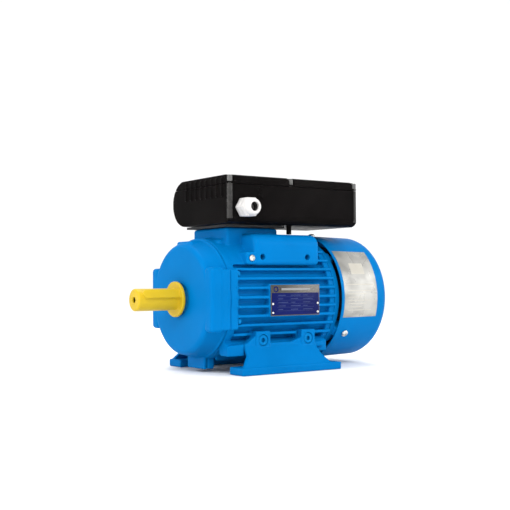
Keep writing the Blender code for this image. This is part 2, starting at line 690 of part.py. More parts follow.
def rotor_core():
    centre = (0.0, SHAFT_HEIGHT)
    outlines = [circle(centre, ROTOR_R, 40), circle(centre, SHAFT_CORE_R + GAP, 24)]
    for index in range(BAR_COUNT):
        angle = 2 * math.pi * index / BAR_COUNT
        y = BAR_PITCH_R * math.cos(angle)
        z = SHAFT_HEIGHT + BAR_PITCH_R * math.sin(angle)
        outlines.append(circle((y, z), BAR_R + 0.4, 6))
    return recentred(prism("rotor_core", outlines, CORE_X, "lamination"))


def recentred(obj, at=(0.0, 0.0, SHAFT_HEIGHT)):
    """Moves the object's origin to a point in motor millimetres and leaves its shape where it is."""
    move = Vector(at) * MM - obj.location
    obj.data.transform(Matrix.Translation(-move))
    obj.location = Vector(at) * MM
    return obj


def rotor_cage():
    low = (CORE_X[0] - GAP - END_RING_LENGTH, CORE_X[0] - GAP)
    high = (CORE_X[1] + GAP, CORE_X[1] + GAP + END_RING_LENGTH)

    def ring(name, x, slot=None):
        inner, outer = END_RING_R
        return turned(name, [(x[0], inner), (x[0], outer), (x[1], outer), (x[1], inner)], slot, 24)

    cage = fixed(ring("rotor_cage", low, "cage_aluminium"))
    bars = []
    for index in range(BAR_COUNT):
        angle = 2 * math.pi * index / BAR_COUNT
        ends = [radial_point(x, BAR_PITCH_R, angle) for x in (low[1] - 3, high[0] + 3)]
        bars.append(rod(*ends, BAR_R, 6))
    combine(cage, "UNION", ring("cage_rear_ring", high), solid("cage_bars", bars))
    return cage


def key_frame():
    """Turns shapes made with the key on +Y to its rest position about the shaft."""
    return Matrix.Rotation(math.pi - KEY_ANGLE, 4, "X")


def key_shape(name, width, radial, x, slot=None):
    """A round-ended bar along the shaft, between two radii."""
    outline = arc((x[1] - width / 2, 0.0), width / 2, -90, 90, 6)
    outline += arc((x[0] + width / 2, 0.0), width / 2, 90, 270, 6)
    bar = prism(name, [outline], radial, slot, "XZ")
    bar.location = AXIS * MM
    bar.data.transform(key_frame())
    return bar


def shaft():
    profile = [(SHAFT_REAR_X, 0), (SHAFT_REAR_X, FAN_SEAT_R - 1), (SHAFT_REAR_X - 1, FAN_SEAT_R)]
    profile.append((222.5, FAN_SEAT_R))
    profile += [(222.5, BEARING_BORE_R), (202.7, BEARING_BORE_R), (202.7, SHAFT_CORE_R), (30.3, SHAFT_CORE_R)]
    profile += [(30.3, BEARING_BORE_R), (0.0, BEARING_BORE_R), (0.0, SHAFT_R), (-SHAFT_LENGTH + 1.2, SHAFT_R)]
    profile += [(-SHAFT_LENGTH, SHAFT_R - 1.2), (-SHAFT_LENGTH, 0)]
    body = fixed(turned("shaft", profile, "shaft_steel", 24, True))
    seat = SHAFT_R - 4.0
    x = (KEY_X[0] - GAP, KEY_X[1] + GAP)
    keyway = key_shape("shaft_keyway", KEY_WIDTH + 2 * GAP, (seat, SHAFT_R + 5), x)
    hole = rod((-SHAFT_LENGTH - 2, 0, SHAFT_HEIGHT), (-SHAFT_LENGTH + 20, 0, SHAFT_HEIGHT), 3.4, 12)
    end_hole = solid("shaft_end_hole", [hole])
    combine(body, "DIFFERENCE", keyway, end_hole)
    return body


def shaft_key():
    seat = SHAFT_R - 4.0 + GAP
    return key_shape("shaft_key", KEY_WIDTH, (seat, seat + KEY_HEIGHT), KEY_X, "shaft_steel")


def shaft_sleeve():
    """The push-on transport sleeve: a capped tube with a rib over the key and a collar at the shoulder."""
    outer = [(SLEEVE_TIP_X, 0), (SLEEVE_TIP_X, SLEEVE_R - 1.5), (SLEEVE_TIP_X + 1.5, SLEEVE_R)]
    outer += [(SLEEVE_COLLAR_X[0], SLEEVE_R), (SLEEVE_COLLAR_X[0], SLEEVE_COLLAR_R - 0.8)]
    outer += [(SLEEVE_COLLAR_X[0] + 0.8, SLEEVE_COLLAR_R), (SLEEVE_COLLAR_X[1], SLEEVE_COLLAR_R)]
    outer.append((SLEEVE_COLLAR_X[1], 0))
    body = fixed(turned("shaft_sleeve", outer, "sleeve_yellow", 24, True))
    rib = key_shape("sleeve_rib", 10.6, (SHAFT_R - 3, 17.0), (SLEEVE_TIP_X + 5, SLEEVE_COLLAR_X[0] + 6))
    rib_limit = solid("sleeve_rib_limit", [box((-60, SLEEVE_COLLAR_X[0] + 2), (-30, 30), (60, 120))])
    combine(rib, "INTERSECT", rib_limit)
    combine(body, "UNION", rib)
    inside = [(-SHAFT_LENGTH - 1.5, 0), (-SHAFT_LENGTH - 1.5, SHAFT_R + GAP), (-0.6, SHAFT_R + GAP)]
    inside += [(-0.6, BEARING_BORE_R + GAP), (SLEEVE_COLLAR_X[1] + 3, BEARING_BORE_R + GAP)]
    inside.append((SLEEVE_COLLAR_X[1] + 3, 0))
    bore = turned("sleeve_bore", inside, None, 24, True)
    key_room = key_shape("sleeve_key_room", KEY_WIDTH + 2 * GAP, (SHAFT_R - 3, 15.7), (-46.6, 16.0))
    end_hole = solid("sleeve_end_hole", [rod((SLEEVE_TIP_X - 2, 0, 90), (-49, 0, 90), 3.8, 12)])
    combine(body, "DIFFERENCE", bore, key_room, end_hole)
    return body


def bearing(prefix, x):
    """Outer ring, inner ring, and the cage with its balls."""
    middle = x + BEARING_WIDTH / 2
    end = x + BEARING_WIDTH
    land = 22.2
    groove = arc((middle, BALL_PITCH_R), BALL_R + 0.7, 150, 30, 3)
    outer = [(x, BEARING_R), (x, land), (groove[0][0], land), *groove[1:-1]]
    outer += [(groove[-1][0], land), (end, land), (end, BEARING_R)]
    turned(prefix + "_bearing_outer", outer, "bearing_steel")
    land = 16.2
    groove = arc((middle, BALL_PITCH_R), BALL_R + 0.7, 210, 330, 3)
    seat = BEARING_BORE_R + GAP
    inner = [(x, seat), (x, land), (groove[0][0], land), *groove[1:-1]]
    inner += [(groove[-1][0], land), (end, land), (end, seat)]
    turned(prefix + "_bearing_inner", inner, "bearing_steel")
    cage = [(middle - 1.4, 18.3), (middle - 1.4, 20.2), (middle + 1.4, 20.2), (middle + 1.4, 18.3)]
    body = fixed(turned(prefix + "_bearing_balls", cage, "bearing_steel", 18))
    balls = []
    for index in range(BALL_COUNT):
        angle = 2 * math.pi * index / BALL_COUNT
        balls.append(ball(radial_point(middle, BALL_PITCH_R, angle), BALL_R))
    combine(body, "UNION", solid(prefix + "_balls", balls))


def drive_end_seal():
    profile = [(9.9, 18.0), (9.9, 13.6), (11.2, 12.8), (12.4, 13.6), (14.4, 13.6), (14.4, 18.0)]
    return turned("drive_end_seal", profile, "rubber")


def fan():
    hub = [(FAN_X[0], FAN_SEAT_R + GAP), (FAN_X[0], FAN_DISC_R), (FAN_X[0] + 2, FAN_DISC_R)]
    hub.append((FAN_X[0] + 3, 30.0))
    hub += [(FAN_X[0] + 5, 15.0), (FAN_X[1], 15.0), (FAN_X[1], FAN_SEAT_R + GAP)]
    body = fixed(turned("fan", hub, "fan_nylon", 24))
    blades = []
    for index in range(FAN_BLADES):
        angle = 2 * math.pi * (index + 0.5) / FAN_BLADES
        blades.append(turned_box((FAN_X[0] + 1, FAN_X[1] - 3), (13.5, FAN_TIP_R), 1.1, angle))
    blade_block = bevelled(solid("fan_blades", blades), 0.5, 1)
    hole = [(220, 0), (220, FAN_SEAT_R + GAP), (260, FAN_SEAT_R + GAP), (260, 0)]
    bore = turned("fan_bore", hole, None, 24, True)
    combine(body, "UNION", blade_block)
    combine(body, "DIFFERENCE", bore)
    return body


def fan_cowl():
    front, rear = COWL_X
    inner = COWL_ROUND - COWL_SHEET
    centre = (rear - COWL_ROUND, COWL_REAR_R - COWL_ROUND)
    profile = [(rear, 0.0)]
    profile += arc(centre, COWL_ROUND, 0, 90, 3)
    profile += [(front, COWL_FRONT_R), (front, COWL_FRONT_R - COWL_SHEET)]
    profile += arc(centre, inner, 90, 0, 3)
    profile += [(rear - COWL_SHEET, 0.0)]
    body = fixed(turned("fan_cowl", profile, "cowl_blue", SHIELD_STEPS, True))
    slots = []
    rib = 7.0
    for ring in range(3):
        low = 17.0 + 15.0 * ring
        count = 4 + ring
        for sector in range(count):
            half = 180.0 / count
            mid = 2 * half * (sector + (0.5 if ring % 2 else 0.0))
            reach = half - math.degrees(rib / 2 / (low + 2.5))
            outline = arc((0, SHAFT_HEIGHT), low, mid - reach, mid + reach, 3)
            outline += arc((0, SHAFT_HEIGHT), low + 8.0, mid + reach, mid - reach, 3)
            slots.append(prism(f"cowl_slot_{ring}_{sector}", [outline], (rear - 5, rear + 5)))
    holes = []
    for angle in COWL_SCREW_ANGLES:
        near, far = radial_point(COWL_SCREW_X, 70, angle), radial_point(COWL_SCREW_X, 90, angle)
        holes.append(rod(near, far, 2.9, 12))
    combine(body, "DIFFERENCE", joined("cowl_slots", slots), solid("cowl_holes", holes))
    return body


def joined(name, objects):
    """One cutter from several cutters that stay clear of each other."""
    bm = bmesh.new()
    for obj in objects:
        bm.from_mesh(obj.data)
        bpy.data.objects.remove(obj)
    mesh = bpy.data.meshes.new(name)
    bm.to_mesh(mesh)
    bm.free()
    return place(bpy.data.objects.new(name, mesh))


def cowl_screws():
    mesh = screw_mesh("cowl_screw", 4.8, 3.0, 2.5, 9.0, 2.2, "zinc")
    for index, angle in enumerate(COWL_SCREW_ANGLES):
        at = radial_point(COWL_SCREW_X, COWL_FRONT_R + 0.2, angle)
        screw(f"cowl_screw_{index + 1}", mesh, at, (0, math.cos(angle), math.sin(angle)))


# ---------------------------------------------------------------- terminal box


def box_outline(inset, low, high):
    """The box's section between two heights: flat on the near side, rounded over the capacitors beyond."""
    centre_y, centre_z = BOX_FAR_CENTRE
    radius = BOX_FAR_R - inset
    near = BOX_NEAR_Y + inset
    bottom = max(low, centre_z - radius)
    top = min(high, centre_z + radius)
    start = math.degrees(math.asin((bottom - centre_z) / radius))
    end = math.degrees(math.asin((top - centre_z) / radius))
    points = arc((centre_y, centre_z), radius, start, end, 6)
    if high > centre_z + radius - 1:
        points += arc((near + 5, high - 5), 5.0, 90, 180, 3)
    else:
        points.append((near, high))
    if low < centre_z:
        points += [(near, low + 9.0), (near + 4, low + 2.0), (near + 9, low)]
    else:
        points.append((near, low))
    return points


def end_ribs(z):
    """Upright ribs on both end faces, over a range of heights."""
    ribs = []
    for index in range(8):
        y = -52.0 + BOX_RIB_PITCH * index
        ribs.append(box((BOX_X[0] - BOX_RIB_DEPTH, BOX_X[0] + 1), (y - 1.6, y + 1.6), z))
        ribs.append(box((BOX_X[1] - 1, BOX_X[1] + BOX_RIB_DEPTH), (y - 1.6, y + 1.6), z))
    return ribs


def terminal_box_base():
    low = BOX_BOTTOM_Z + 0.2
    body = prism("terminal_box_base", [box_outline(0.0, low, BOX_SPLIT_Z)], BOX_X, "box_black")
    room_x = (BOX_X[0] + BOX_WALL, BOX_X[1] - BOX_WALL)
    room = prism("box_room", [box_outline(BOX_WALL, low + BOX_WALL, BOX_SPLIT_Z + 6)], room_x)
    combine(body, "DIFFERENCE", room)
    y, z = (-70, CORNER_SCREWS[0][1]), (187, BOX_SPLIT_Z + 2)
    corners = [box((BOX_X[0] - 2, CORNER_SCREWS[0][0]), y, z), box((CORNER_SCREWS[1][0], BOX_X[1] + 2), y, z)]
    combine(body, "DIFFERENCE", solid("box_corners", corners))
    columns = [rod((x, y, 186), (x, y, BOX_SPLIT_Z), CORNER_COLUMN_R, 12) for x, y in CORNER_SCREWS]
    columns += [rod((x, y, 188), (x, y, BOX_SPLIT_Z), 4.6, 10) for x, y in COVER_SCREWS[3:]]
    x, y = COVER_SCREWS[2]
    columns.append(rod((x, y + 2, 188), (x, y + 2, BOX_SPLIT_Z), 4.6, 10))
    combine(body, "UNION", solid("box_columns", columns))
    combine(body, "UNION", solid("box_ribs", end_ribs((214, BOX_SPLIT_Z - 0.5))))
    y = (BOX_NEAR_Y - 0.8, BOX_NEAR_Y + 1)
    strip = [box((82.0, 86.4), y, (214 + 4 * i, 216.6 + 4 * i)) for i in range(4)]
    posts = [rod((140, y, CAP_TOP_Z + 0.8), (140, y, low + 2), 3.3, 14) for y in (-50, 44)]
    combine(body, "UNION", solid("box_strip", strip), solid("box_posts", posts))
    window = solid("box_window", [box(WINDOW_X, (-WINDOW_HALF_WIDTH, WINDOW_HALF_WIDTH), (175, 190))])
    holes = [rod((x, y, 210), (x, y, BOX_SPLIT_Z + 4), 1.9, 8) for x, y in COVER_SCREWS]
    gland_hole = solid("box_gland_hole", [rod((GLAND_X, -75, GLAND_Z), (GLAND_X, -55, GLAND_Z), 8.3, 24)])
    combine(body, "DIFFERENCE", window, solid("box_screw_holes", holes), gland_hole)
    return body


def box_gasket():
    window = [(WINDOW_X[0], -18), (WINDOW_X[1], -18), (WINDOW_X[1], 18), (WINDOW_X[0], 18)]
    outer = [(47, -46), (136, -46), (136, 46), (47, 46)]
    return prism("box_gasket", [outer, window], (PEDESTAL_TOP_Z + GAP, BOX_BOTTOM_Z - 0.15), "rubber", "XY")


def terminal_box_cover():
    low = BOX_SPLIT_Z + GAP
    body = prism("terminal_box_cover", [box_outline(0.0, low, BOX_TOP_Z)], BOX_X, "box_black")
    room_x = (BOX_X[0] + BOX_WALL, BOX_X[1] - BOX_WALL)
    room = prism("cover_room", [box_outline(BOX_WALL, low - 5, BOX_TOP_Z - BOX_WALL)], room_x)
    flanges, notches, holes = [], [], []
    for x, y in COVER_SCREWS:
        flanges.append(rod((x, y, low), (x, y, BOX_TOP_Z - 2), 6.2, 12))
        notches.append(rod((x, y, low + 2.2), (x, y, BOX_TOP_Z + 4), 4.8, 12))
        holes.append(rod((x, y, low - 4), (x, y, low + 4), 2.2, 8))
    x = (BOX_X[0] + 0.05, BOX_X[1] - 0.05)
    limit = prism("cover_limit", [box_outline(0.05, low + 0.05, BOX_TOP_Z)], x)
    flange_block = solid("cover_flanges", flanges)
    combine(flange_block, "INTERSECT", limit)
    combine(body, "UNION", solid("cover_ribs", end_ribs((low + 0.3, BOX_TOP_Z - 3.5))))
    combine(body, "DIFFERENCE", room)
    combine(body, "UNION", flange_block)
    combine(body, "DIFFERENCE", solid("cover_notches", notches), solid("cover_holes", holes))
    return body


def cover_screws():
    mesh = screw_mesh("cover_screw", 3.4, 6.8, 1.6, 14.0, 1.7, "zinc")
    for index, (x, y) in enumerate(COVER_SCREWS):
        screw(f"cover_screw_{index + 1}", mesh, (x, y, BOX_SPLIT_Z + GAP + 2.2 + GAP), (0, 0, 1))


def capacitor(name, x, y=30.0, z=208.0, radius=21.5):
    body = solid(name, [rod((x[0], y, z), (x[1], y, z), radius, 24)], "capacitor")
    bevelled(body, 2.0, 2)
    tabs = [box((x[1] - 2, x[1] + 7), (y + dy - 3, y + dy + 3), (z - 0.5, z + 0.5)) for dy in (-8, 8)]
    combine(body, "UNION", solid(name + "_tabs", tabs))
    return body


def terminal_board():
    board = solid("terminal_board", [box((118, 178), (-54, -24), (191, 196))], "board_brown")
    bevelled(board, 0.8, 1)
    legs = [box((120, 126), (-52, -26), (184.8, 192)), box((170, 176), (-52, -26), (184.8, 192))]
    studs = [rod((x, y, 195), (x, y, 206), 2.2, 10) for x in (130, 148, 166) for y in (-47, -31)]
    combine(board, "UNION", solid("board_legs", legs), solid("board_studs", studs))
    return board


def cable_gland():
    """Body with its hexagon against the box wall, sealing ring, and dome nut."""

    def along(name, profile, slot=None, steps=24):
        obj = turned(name, profile, slot, steps)
        obj.location = Vector((GLAND_X, 0.0, GLAND_Z)) * MM
        obj.rotation_euler = (math.pi / 2, 0.0, 0.0)
        return obj

    tube = along("gland_body", [(58.5, 6.2), (58.5, 8.0), (80.0, 8.0), (80.0, 6.2)], "gland_white", 20)
    fixed(tube)
    hex_outline = circle((GLAND_X, GLAND_Z), GLAND_HEX_R, 6)
    hexagon = prism("gland_hex", [hex_outline], (-76.0, -67.3), None, "XZ")
    hole = solid("gland_through", [rod((GLAND_X, -50, GLAND_Z), (GLAND_X, -90, GLAND_Z), 6.2, 20)])
    combine(tube, "UNION", hexagon)
    combine(tube, "DIFFERENCE", hole)
    nut_hex = prism("gland_nut", [hex_outline], (-84.0, -76.3), "gland_white", "XZ")
    tip = -GLAND_TIP_Y
    dome = [(78.0, 8.3), (78.0, 10.8), (84.0, 10.8), (88.0, 10.2), (tip - 1, 8.6), (tip, 7.6)]
    dome.append((tip, GLAND_BORE_R))
    dome += [(88.3, GLAND_BORE_R), (88.3, 8.3)]
    nut_dome = along("gland_dome", dome, None, 20)
    nut_hole = solid("gland_nut_bore", [rod((GLAND_X, -70, GLAND_Z), (GLAND_X, -88.3, GLAND_Z), 8.3, 20)])
    combine(nut_hex, "UNION", nut_dome)
    combine(nut_hex, "DIFFERENCE", nut_hole)
    bore = GLAND_BORE_R - 0.4
    along("gland_seal", [(80.5, bore), (80.5, 8.0), (88.0, 8.0), (88.0, bore)], "rubber", 20)


# ---------------------------------------------------------------- starting switch


def governor():
    """Hub with two pivot pins, sliding collar, and two weights that swing out with speed."""
    pivot_x, pivot_r = GOVERNOR_PIVOT
    rim = [(174.5, 15.3), (174.5, 20.0), (176.5, 20.0), (179.5, 18.5), (179.5, 15.3)]
    hub = fixed(turned("governor_hub", rim, "zinc"))
    arms, pins = [], []
    for side in (-1, 1):
        z = (SHAFT_HEIGHT + side * 17.5, SHAFT_HEIGHT + side * (pivot_r + 2))
        for y in (-8.5, 6.5):
            arms.append(box((175, pivot_x + 2), (y, y + 2), (min(z), max(z))))
        centre = SHAFT_HEIGHT + side * pivot_r
        pins.append(rod((pivot_x, -8, centre), (pivot_x, 8, centre), 1.1, 10))
    combine(hub, "UNION", solid("governor_arms", arms), solid("governor_pins", pins))
    collar = [(184.5, SHAFT_CORE_R + 0.4), (184.5, 19.0), (189.0, 19.0), (189.0, 22.0), (192.0, 22.0)]
    turned("governor_collar", collar + [(192.0, SHAFT_CORE_R + 0.4)], "governor_plastic")
    for number, side in ((1, 1), (2, -1)):
        at = (pivot_x, 0.0, SHAFT_HEIGHT + side * pivot_r)
        y = (-6.1, 6.1)
        z = sorted((at[2] - side * 1.6, at[2] + side * 8.5))
        heavy = sorted((at[2] + side * 1.5, at[2] + side * 8.5))
        weight = solid(f"governor_weight_{number}", [box((pivot_x - 2.6, pivot_x + 2.6), y, z)], "zinc", at)
        mass = solid(f"weight_{number}_mass", [box((pivot_x + 1, pivot_x + 10), y, heavy)])
        hole = solid(f"weight_{number}_hole", [rod((pivot_x, -9, at[2]), (pivot_x, 9, at[2]), 1.45, 10)])
        combine(weight, "UNION", mass)
        combine(weight, "DIFFERENCE", hole)


def starting_switch():
    """The fixed contact board on the rear shield and the contact arm that follows the governor's collar."""
    pivot_x, pivot_r = SWITCH_PIVOT
    top = SHAFT_HEIGHT + pivot_r
    sheet = box((195.6, 197.6), (-20, 20), (SHAFT_HEIGHT + 33, top + 5))
    board = solid("switch_board", [sheet], "board_brown")
    stands = [box((197, 199.7), (y, y + 6), (SHAFT_HEIGHT + 38, top + 5)) for y in (-19, 13)]
    ears = [box((191.5, 196), (y, y + 2), (top - 3, top + 3)) for y in (-9.0, 7.0)]
    pin = [rod((pivot_x, -8, top), (pivot_x, 8, top), 1.0, 10)]
    combine(board, "UNION", solid("board_stands", stands), solid("board_ears", ears), solid("board_pin", pin))
    at = (pivot_x, 0.0, top)
    arm = solid("switch_arm", [box((192.6, 193.6), (-5, 5), (SHAFT_HEIGHT + 17, top - 1.8))], "copper", at)
    barrel = solid("arm_barrel", [rod((pivot_x, -6.5, top), (pivot_x, 6.5, top), 2.3, 16)])
    contact = solid("arm_contact", [rod((193, 0, top - 12), (195.2, 0, top - 12), 2.2, 12)])
    bore = solid("arm_bore", [rod((pivot_x, -9, top), (pivot_x, 9, top), 1.35, 12)])
    tongue = solid("arm_tongue", [box((192.6, 193.6), (-5, 5), (top - 3, top - 1.0))])
    combine(arm, "UNION", tongue, barrel, contact)
    combine(arm, "DIFFERENCE", bore)


def main():
    frame()
    drive_end_shield()
    rear_end_shield()
    foot("foot_right", -1)
    foot("foot_left", 1)
    housing_screws()
    nameplate()
    stator_core()
    stator_winding()
    rotor_core()
    rotor_cage()
    shaft()
    shaft_key()
    shaft_sleeve()
    bearing("drive", DRIVE_BEARING_X)
    bearing("rear", REAR_BEARING_X)
    drive_end_seal()
    fan()
    fan_cowl()
    cowl_screws()
    terminal_box_base()
    box_gasket()
    terminal_box_cover()
    cover_screws()
    capacitor("run_capacitor", (49.0, 121.0))
    capacitor("start_capacitor", (145.0, 221.0))
    terminal_board()
    cable_gland()
    governor()
    starting_switch()


main()
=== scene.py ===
"""Looks for the foot-mounted single-phase capacitor motor.

Shapes are written in the motor's own millimetres: x from the shaft shoulder, y from the
shaft's vertical plane and z from the floor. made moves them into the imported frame, whose
origin lies under the middle of the motor's length.
"""

import json
import math

import bmesh
import bpy
from mathutils import Matrix, Vector


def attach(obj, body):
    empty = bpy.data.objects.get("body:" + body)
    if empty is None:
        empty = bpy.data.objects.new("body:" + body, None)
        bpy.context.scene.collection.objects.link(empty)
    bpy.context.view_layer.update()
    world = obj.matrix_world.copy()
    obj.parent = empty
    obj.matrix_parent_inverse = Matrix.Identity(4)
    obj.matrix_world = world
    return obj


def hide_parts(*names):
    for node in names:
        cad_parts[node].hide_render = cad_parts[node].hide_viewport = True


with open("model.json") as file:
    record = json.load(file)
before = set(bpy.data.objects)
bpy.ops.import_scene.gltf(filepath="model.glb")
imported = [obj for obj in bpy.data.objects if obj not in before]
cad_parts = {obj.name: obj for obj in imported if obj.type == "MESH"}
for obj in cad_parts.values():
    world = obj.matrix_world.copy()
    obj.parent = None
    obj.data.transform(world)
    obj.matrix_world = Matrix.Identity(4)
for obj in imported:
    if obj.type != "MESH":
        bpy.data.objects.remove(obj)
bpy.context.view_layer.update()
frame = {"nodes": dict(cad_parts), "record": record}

MM = 0.001
MID_X = 115.5
SHAFT_Z = 90.0
AXIS = Vector((0.0, 0.0, SHAFT_Z))
SIDES = (-1, 1)
QUARTERS = tuple(math.radians(45 + 90 * quarter) for quarter in range(4))

# housing: barrel, fins, pads and lugs
FIN_X = (45.6, 193.6)
REAR_FIN_X = 167.0
FIN_TIP_R = 78.5
FIN_TIP_HALF = 1.6
FIN_ROOT_HALF = 2.8
SIDE_FIN_Z = 92.3
SIDE_FIN_PITCH = 11.2
SIDE_FIN_DEPTH = 22.0
LOWER_FIN_PITCH = 12.0
LOWER_FIN_DEPTH = 20.0
SHOULDER_Z = 131.5
STATOR_BORE_R = 65.3
SIDE_PAD_Y = 74
SIDE_PAD_Z = (54, 126)
BOTTOM_LUG_Y = (-20, 20)
LUG_X = (84.1, 152.9)
LUG_Z = 40.0
UPPER_LUG_Z = 141.0
WINDOW = ((72.0, 108.0), (-18.0, 18.0))

# feet
FOOT_HOLE_X = (56.0, 181.0)
FOOT_HOLE_Y = 70.0
FOOT_HOLE_R = 5.0

# screws
M5_HOLE_R = 2.8
SHIELD_SCREW_R = 73.6
SHIELD_SCREW_DZ = (30.3, -25.7)
REAR_SCREW_R = 70.2
COWL_SCREW_X = 216.0
COWL_SCREW_ANGLES = tuple(math.radians(a) for a in (90.0, -34.8, 214.8))
EARTH_SCREW = (68.5, 139.5)

# fan cowl
COWL_R = (81.75, 80.0)
COWL_X = (201.0, 285.0)
COWL_SHEET = 1.5
COWL_BEND_R = 16.0

# nameplate and label
PLATE_BACK_Y = -78.8
PLATE_FRONT_Y = PLATE_BACK_Y - 0.8
FIELD_FRONT_Y = PLATE_BACK_Y - 0.98
RIVETS = ((93.0, 83.7), (162.0, 83.7), (93.0, 73.0), (162.0, 73.0))

# terminal box
BOX_X = (38.5, 239.0)
BOX_NEAR_Y = -67.0
BOX_FAR_CENTRE = (37.5, 211.0)
BOX_FAR_R = 29.5
BOX_LOW_Z = 181.5
BOX_SPLIT_Z = 229.0
BOX_TOP_Z = 240.0
BOX_WALL = 3.0
BOX_ROOM_X = (BOX_X[0] + BOX_WALL, BOX_X[1] - BOX_WALL)
COVER_LOW_Z = BOX_SPLIT_Z + 0.3
CORNER_SCREWS = ((41.5, -64.1), (236.0, -64.1))
COVER_SCREWS = (*CORNER_SCREWS, (132.4, -63.8), (43.5, 50.0), (136.0, 50.0), (234.0, 50.0))
NEAR_COLUMN = (132.4, -61.8)
COLUMN_R = 4.6
CORNER_COLUMN_R = 3.3

# gland and shaft end
GLAND = (59.6, 200.3)
GLAND_CORNER_R = 12.7
KEY_ANGLE = math.radians(27.0)

# studio, in metres
FLOOR_R = 2.2
SWEEP_R = 1.2
BACKDROP_TOP_Z = 2.6
STAGE_STEPS = 96
CAMERA_AT = (-0.67934, -0.98547, 0.11418)
CAMERA_TURNS = (55.15, 1.49, -0.38)
CAMERA_LENS = 65.17


# ---------------------------------------------------------------- mesh helpers


def made(name, bm):
    """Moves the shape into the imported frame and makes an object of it."""
    move = Matrix.Scale(MM, 4) @ Matrix.Translation((-MID_X, 0.0, 0.0))
    bmesh.ops.transform(bm, matrix=move, verts=bm.verts)
    bmesh.ops.recalc_face_normals(bm, faces=bm.faces)
    mesh = bpy.data.meshes.new(name)
    bm.to_mesh(mesh)
    bm.free()
    obj = bpy.data.objects.new(name, mesh)
    bpy.context.scene.collection.objects.link(obj)
    return obj


def solid(name, shapes):
    """One object from shapes that stay clear of each other."""
    bm = bmesh.new()
    for shape in shapes:
        shape(bm)
    return made(name, bm)


def unit_cube(matrix):
    return lambda bm: bmesh.ops.create_cube(bm, size=1.0, matrix=matrix)


def box(x, y, z):
    size = Matrix.Diagonal((x[1] - x[0], y[1] - y[0], z[1] - z[0], 1.0))
    centre = Matrix.Translation(((x[0] + x[1]) / 2, (y[0] + y[1]) / 2, (z[0] + z[1]) / 2))
    return unit_cube(centre @ size)


def turned_box(x, radial, half_width, angle):
    """A box between two radii, turned about the shaft's axis."""
    size = Matrix.Diagonal((x[1] - x[0], radial[1] - radial[0], 2 * half_width, 1.0))
    centre = Matrix.Translation(((x[0] + x[1]) / 2, (radial[0] + radial[1]) / 2, 0.0))
    turn = Matrix.Translation(AXIS) @ Matrix.Rotation(angle, 4, "X")
    return unit_cube(turn @ centre @ size)


def rod(start, end, radius, segments=32):
    start, end = Vector(start), Vector(end)
    length = (end - start).length
    turn = (end - start).to_track_quat("Z", "Y").to_matrix().to_4x4()
    matrix = Matrix.Translation((start + end) / 2) @ turn
    return lambda bm: bmesh.ops.create_cone(
        bm,
        cap_ends=True,
        segments=segments,
        radius1=radius,
        radius2=radius,
        depth=length,
        matrix=matrix,
    )


def swept(profile, steps, on_axis, matrix):
    """A shape: (along, radius) points turned about the local X axis.

    The profile is a closed loop, unless its two ends lie on the axis.
    """

    def add(bm):
        rings = []
        for along, radius in profile:
            count = 1 if radius < 1e-6 else steps
            ring = []
            for i in range(count):
                turn = 2 * math.pi * i / steps
                point = Vector((along, radius * math.cos(turn), radius * math.sin(turn)))
                ring.append(bm.verts.new(matrix @ point))
            rings.append(ring)
        pairs = list(zip(rings, rings[1:]))
        if not on_axis:
            pairs.append((rings[-1], rings[0]))
        for first, second in pairs:
            for i in range(steps):
                j = (i + 1) % steps
                loop = [first[i % len(first)], first[j % len(first)]]
                loop += [second[j % len(second)], second[i % len(second)]]
                corners = list(dict.fromkeys(loop))
                if len(corners) > 2:
                    bm.faces.new(corners)

    return add


def lathe(name, profile, steps=128, on_axis=False):
    return solid(name, [swept(profile, steps, on_axis, Matrix.Translation(AXIS))])


def prism(outline, limits, plane="YZ"):
    """A shape: a flat outline extruded over a range: of x for YZ, of y for XZ, of z for XY."""

    def add(bm):
        def point(u, v, w):
            return {"YZ": (w, u, v), "XZ": (u, w, v), "XY": (u, v, w)}[plane]

        ends = [[bm.verts.new(point(u, v, w)) for u, v in outline] for w in limits]
        bm.faces.new(ends[0])
        bm.faces.new(list(reversed(ends[1])))
        count = len(outline)
        for i in range(count):
            j = (i + 1) % count
            bm.faces.new((ends[0][i], ends[1][i], ends[1][j], ends[0][j]))

    return add


def arc(centre, radius, start, end, steps):
    angles = [math.radians(start + (end - start) * i / steps) for i in range(steps + 1)]
    return [(centre[0] + radius * math.cos(a), centre[1] + radius * math.sin(a)) for a in angles]


def applied(obj):
    """Replaces the object's modifiers by their result."""
    bpy.context.view_layer.update()
    graph = bpy.context.evaluated_depsgraph_get()
    mesh = bpy.data.meshes.new_from_object(obj.evaluated_get(graph))
    old = obj.data
    obj.modifiers.clear()
    obj.data = mesh
    mesh.name = obj.name
    bpy.data.meshes.remove(old)
    return obj


def combine(obj, operation, *others):
    """Adds, cuts or intersects with the other objects, and removes them."""
    for other in others:
        modifier = obj.modifiers.new(operation.lower(), "BOOLEAN")
        modifier.operation = operation
        modifier.solver = "MANIFOLD"
        modifier.object = other
    applied(obj)
    for other in others:
        bpy.data.objects.remove(other)
    return obj


def bevelled(obj, width, segments=3, angle=40.0):
    modifier = obj.modifiers.new("bevel", "BEVEL")
    modifier.width = width * MM
    modifier.segments = segments
    modifier.limit_method = "ANGLE"
    modifier.angle_limit = math.radians(angle)
    return applied(obj)


def cast(obj, voxel, rounds, keep=1.0):
    """Melts the joins and edges as casting or moulding does: a fine remesh, then smoothing."""
    remesh = obj.modifiers.new("remesh", "REMESH")
    remesh.mode = "VOXEL"
    remesh.voxel_size = voxel * MM
    smooth = obj.modifiers.new("smooth", "SMOOTH")
    smooth.factor = 0.5
    smooth.iterations = rounds
    if keep < 1.0:
        reduce = obj.modifiers.new("reduce", "DECIMATE")
        reduce.ratio = keep
    applied(obj)
    obj.data.shade_smooth()
    return obj


def softened(obj, angle=35.0):
    obj.data.shade_smooth()
    obj.data.set_sharp_from_angle(angle=math.radians(angle))
    return obj


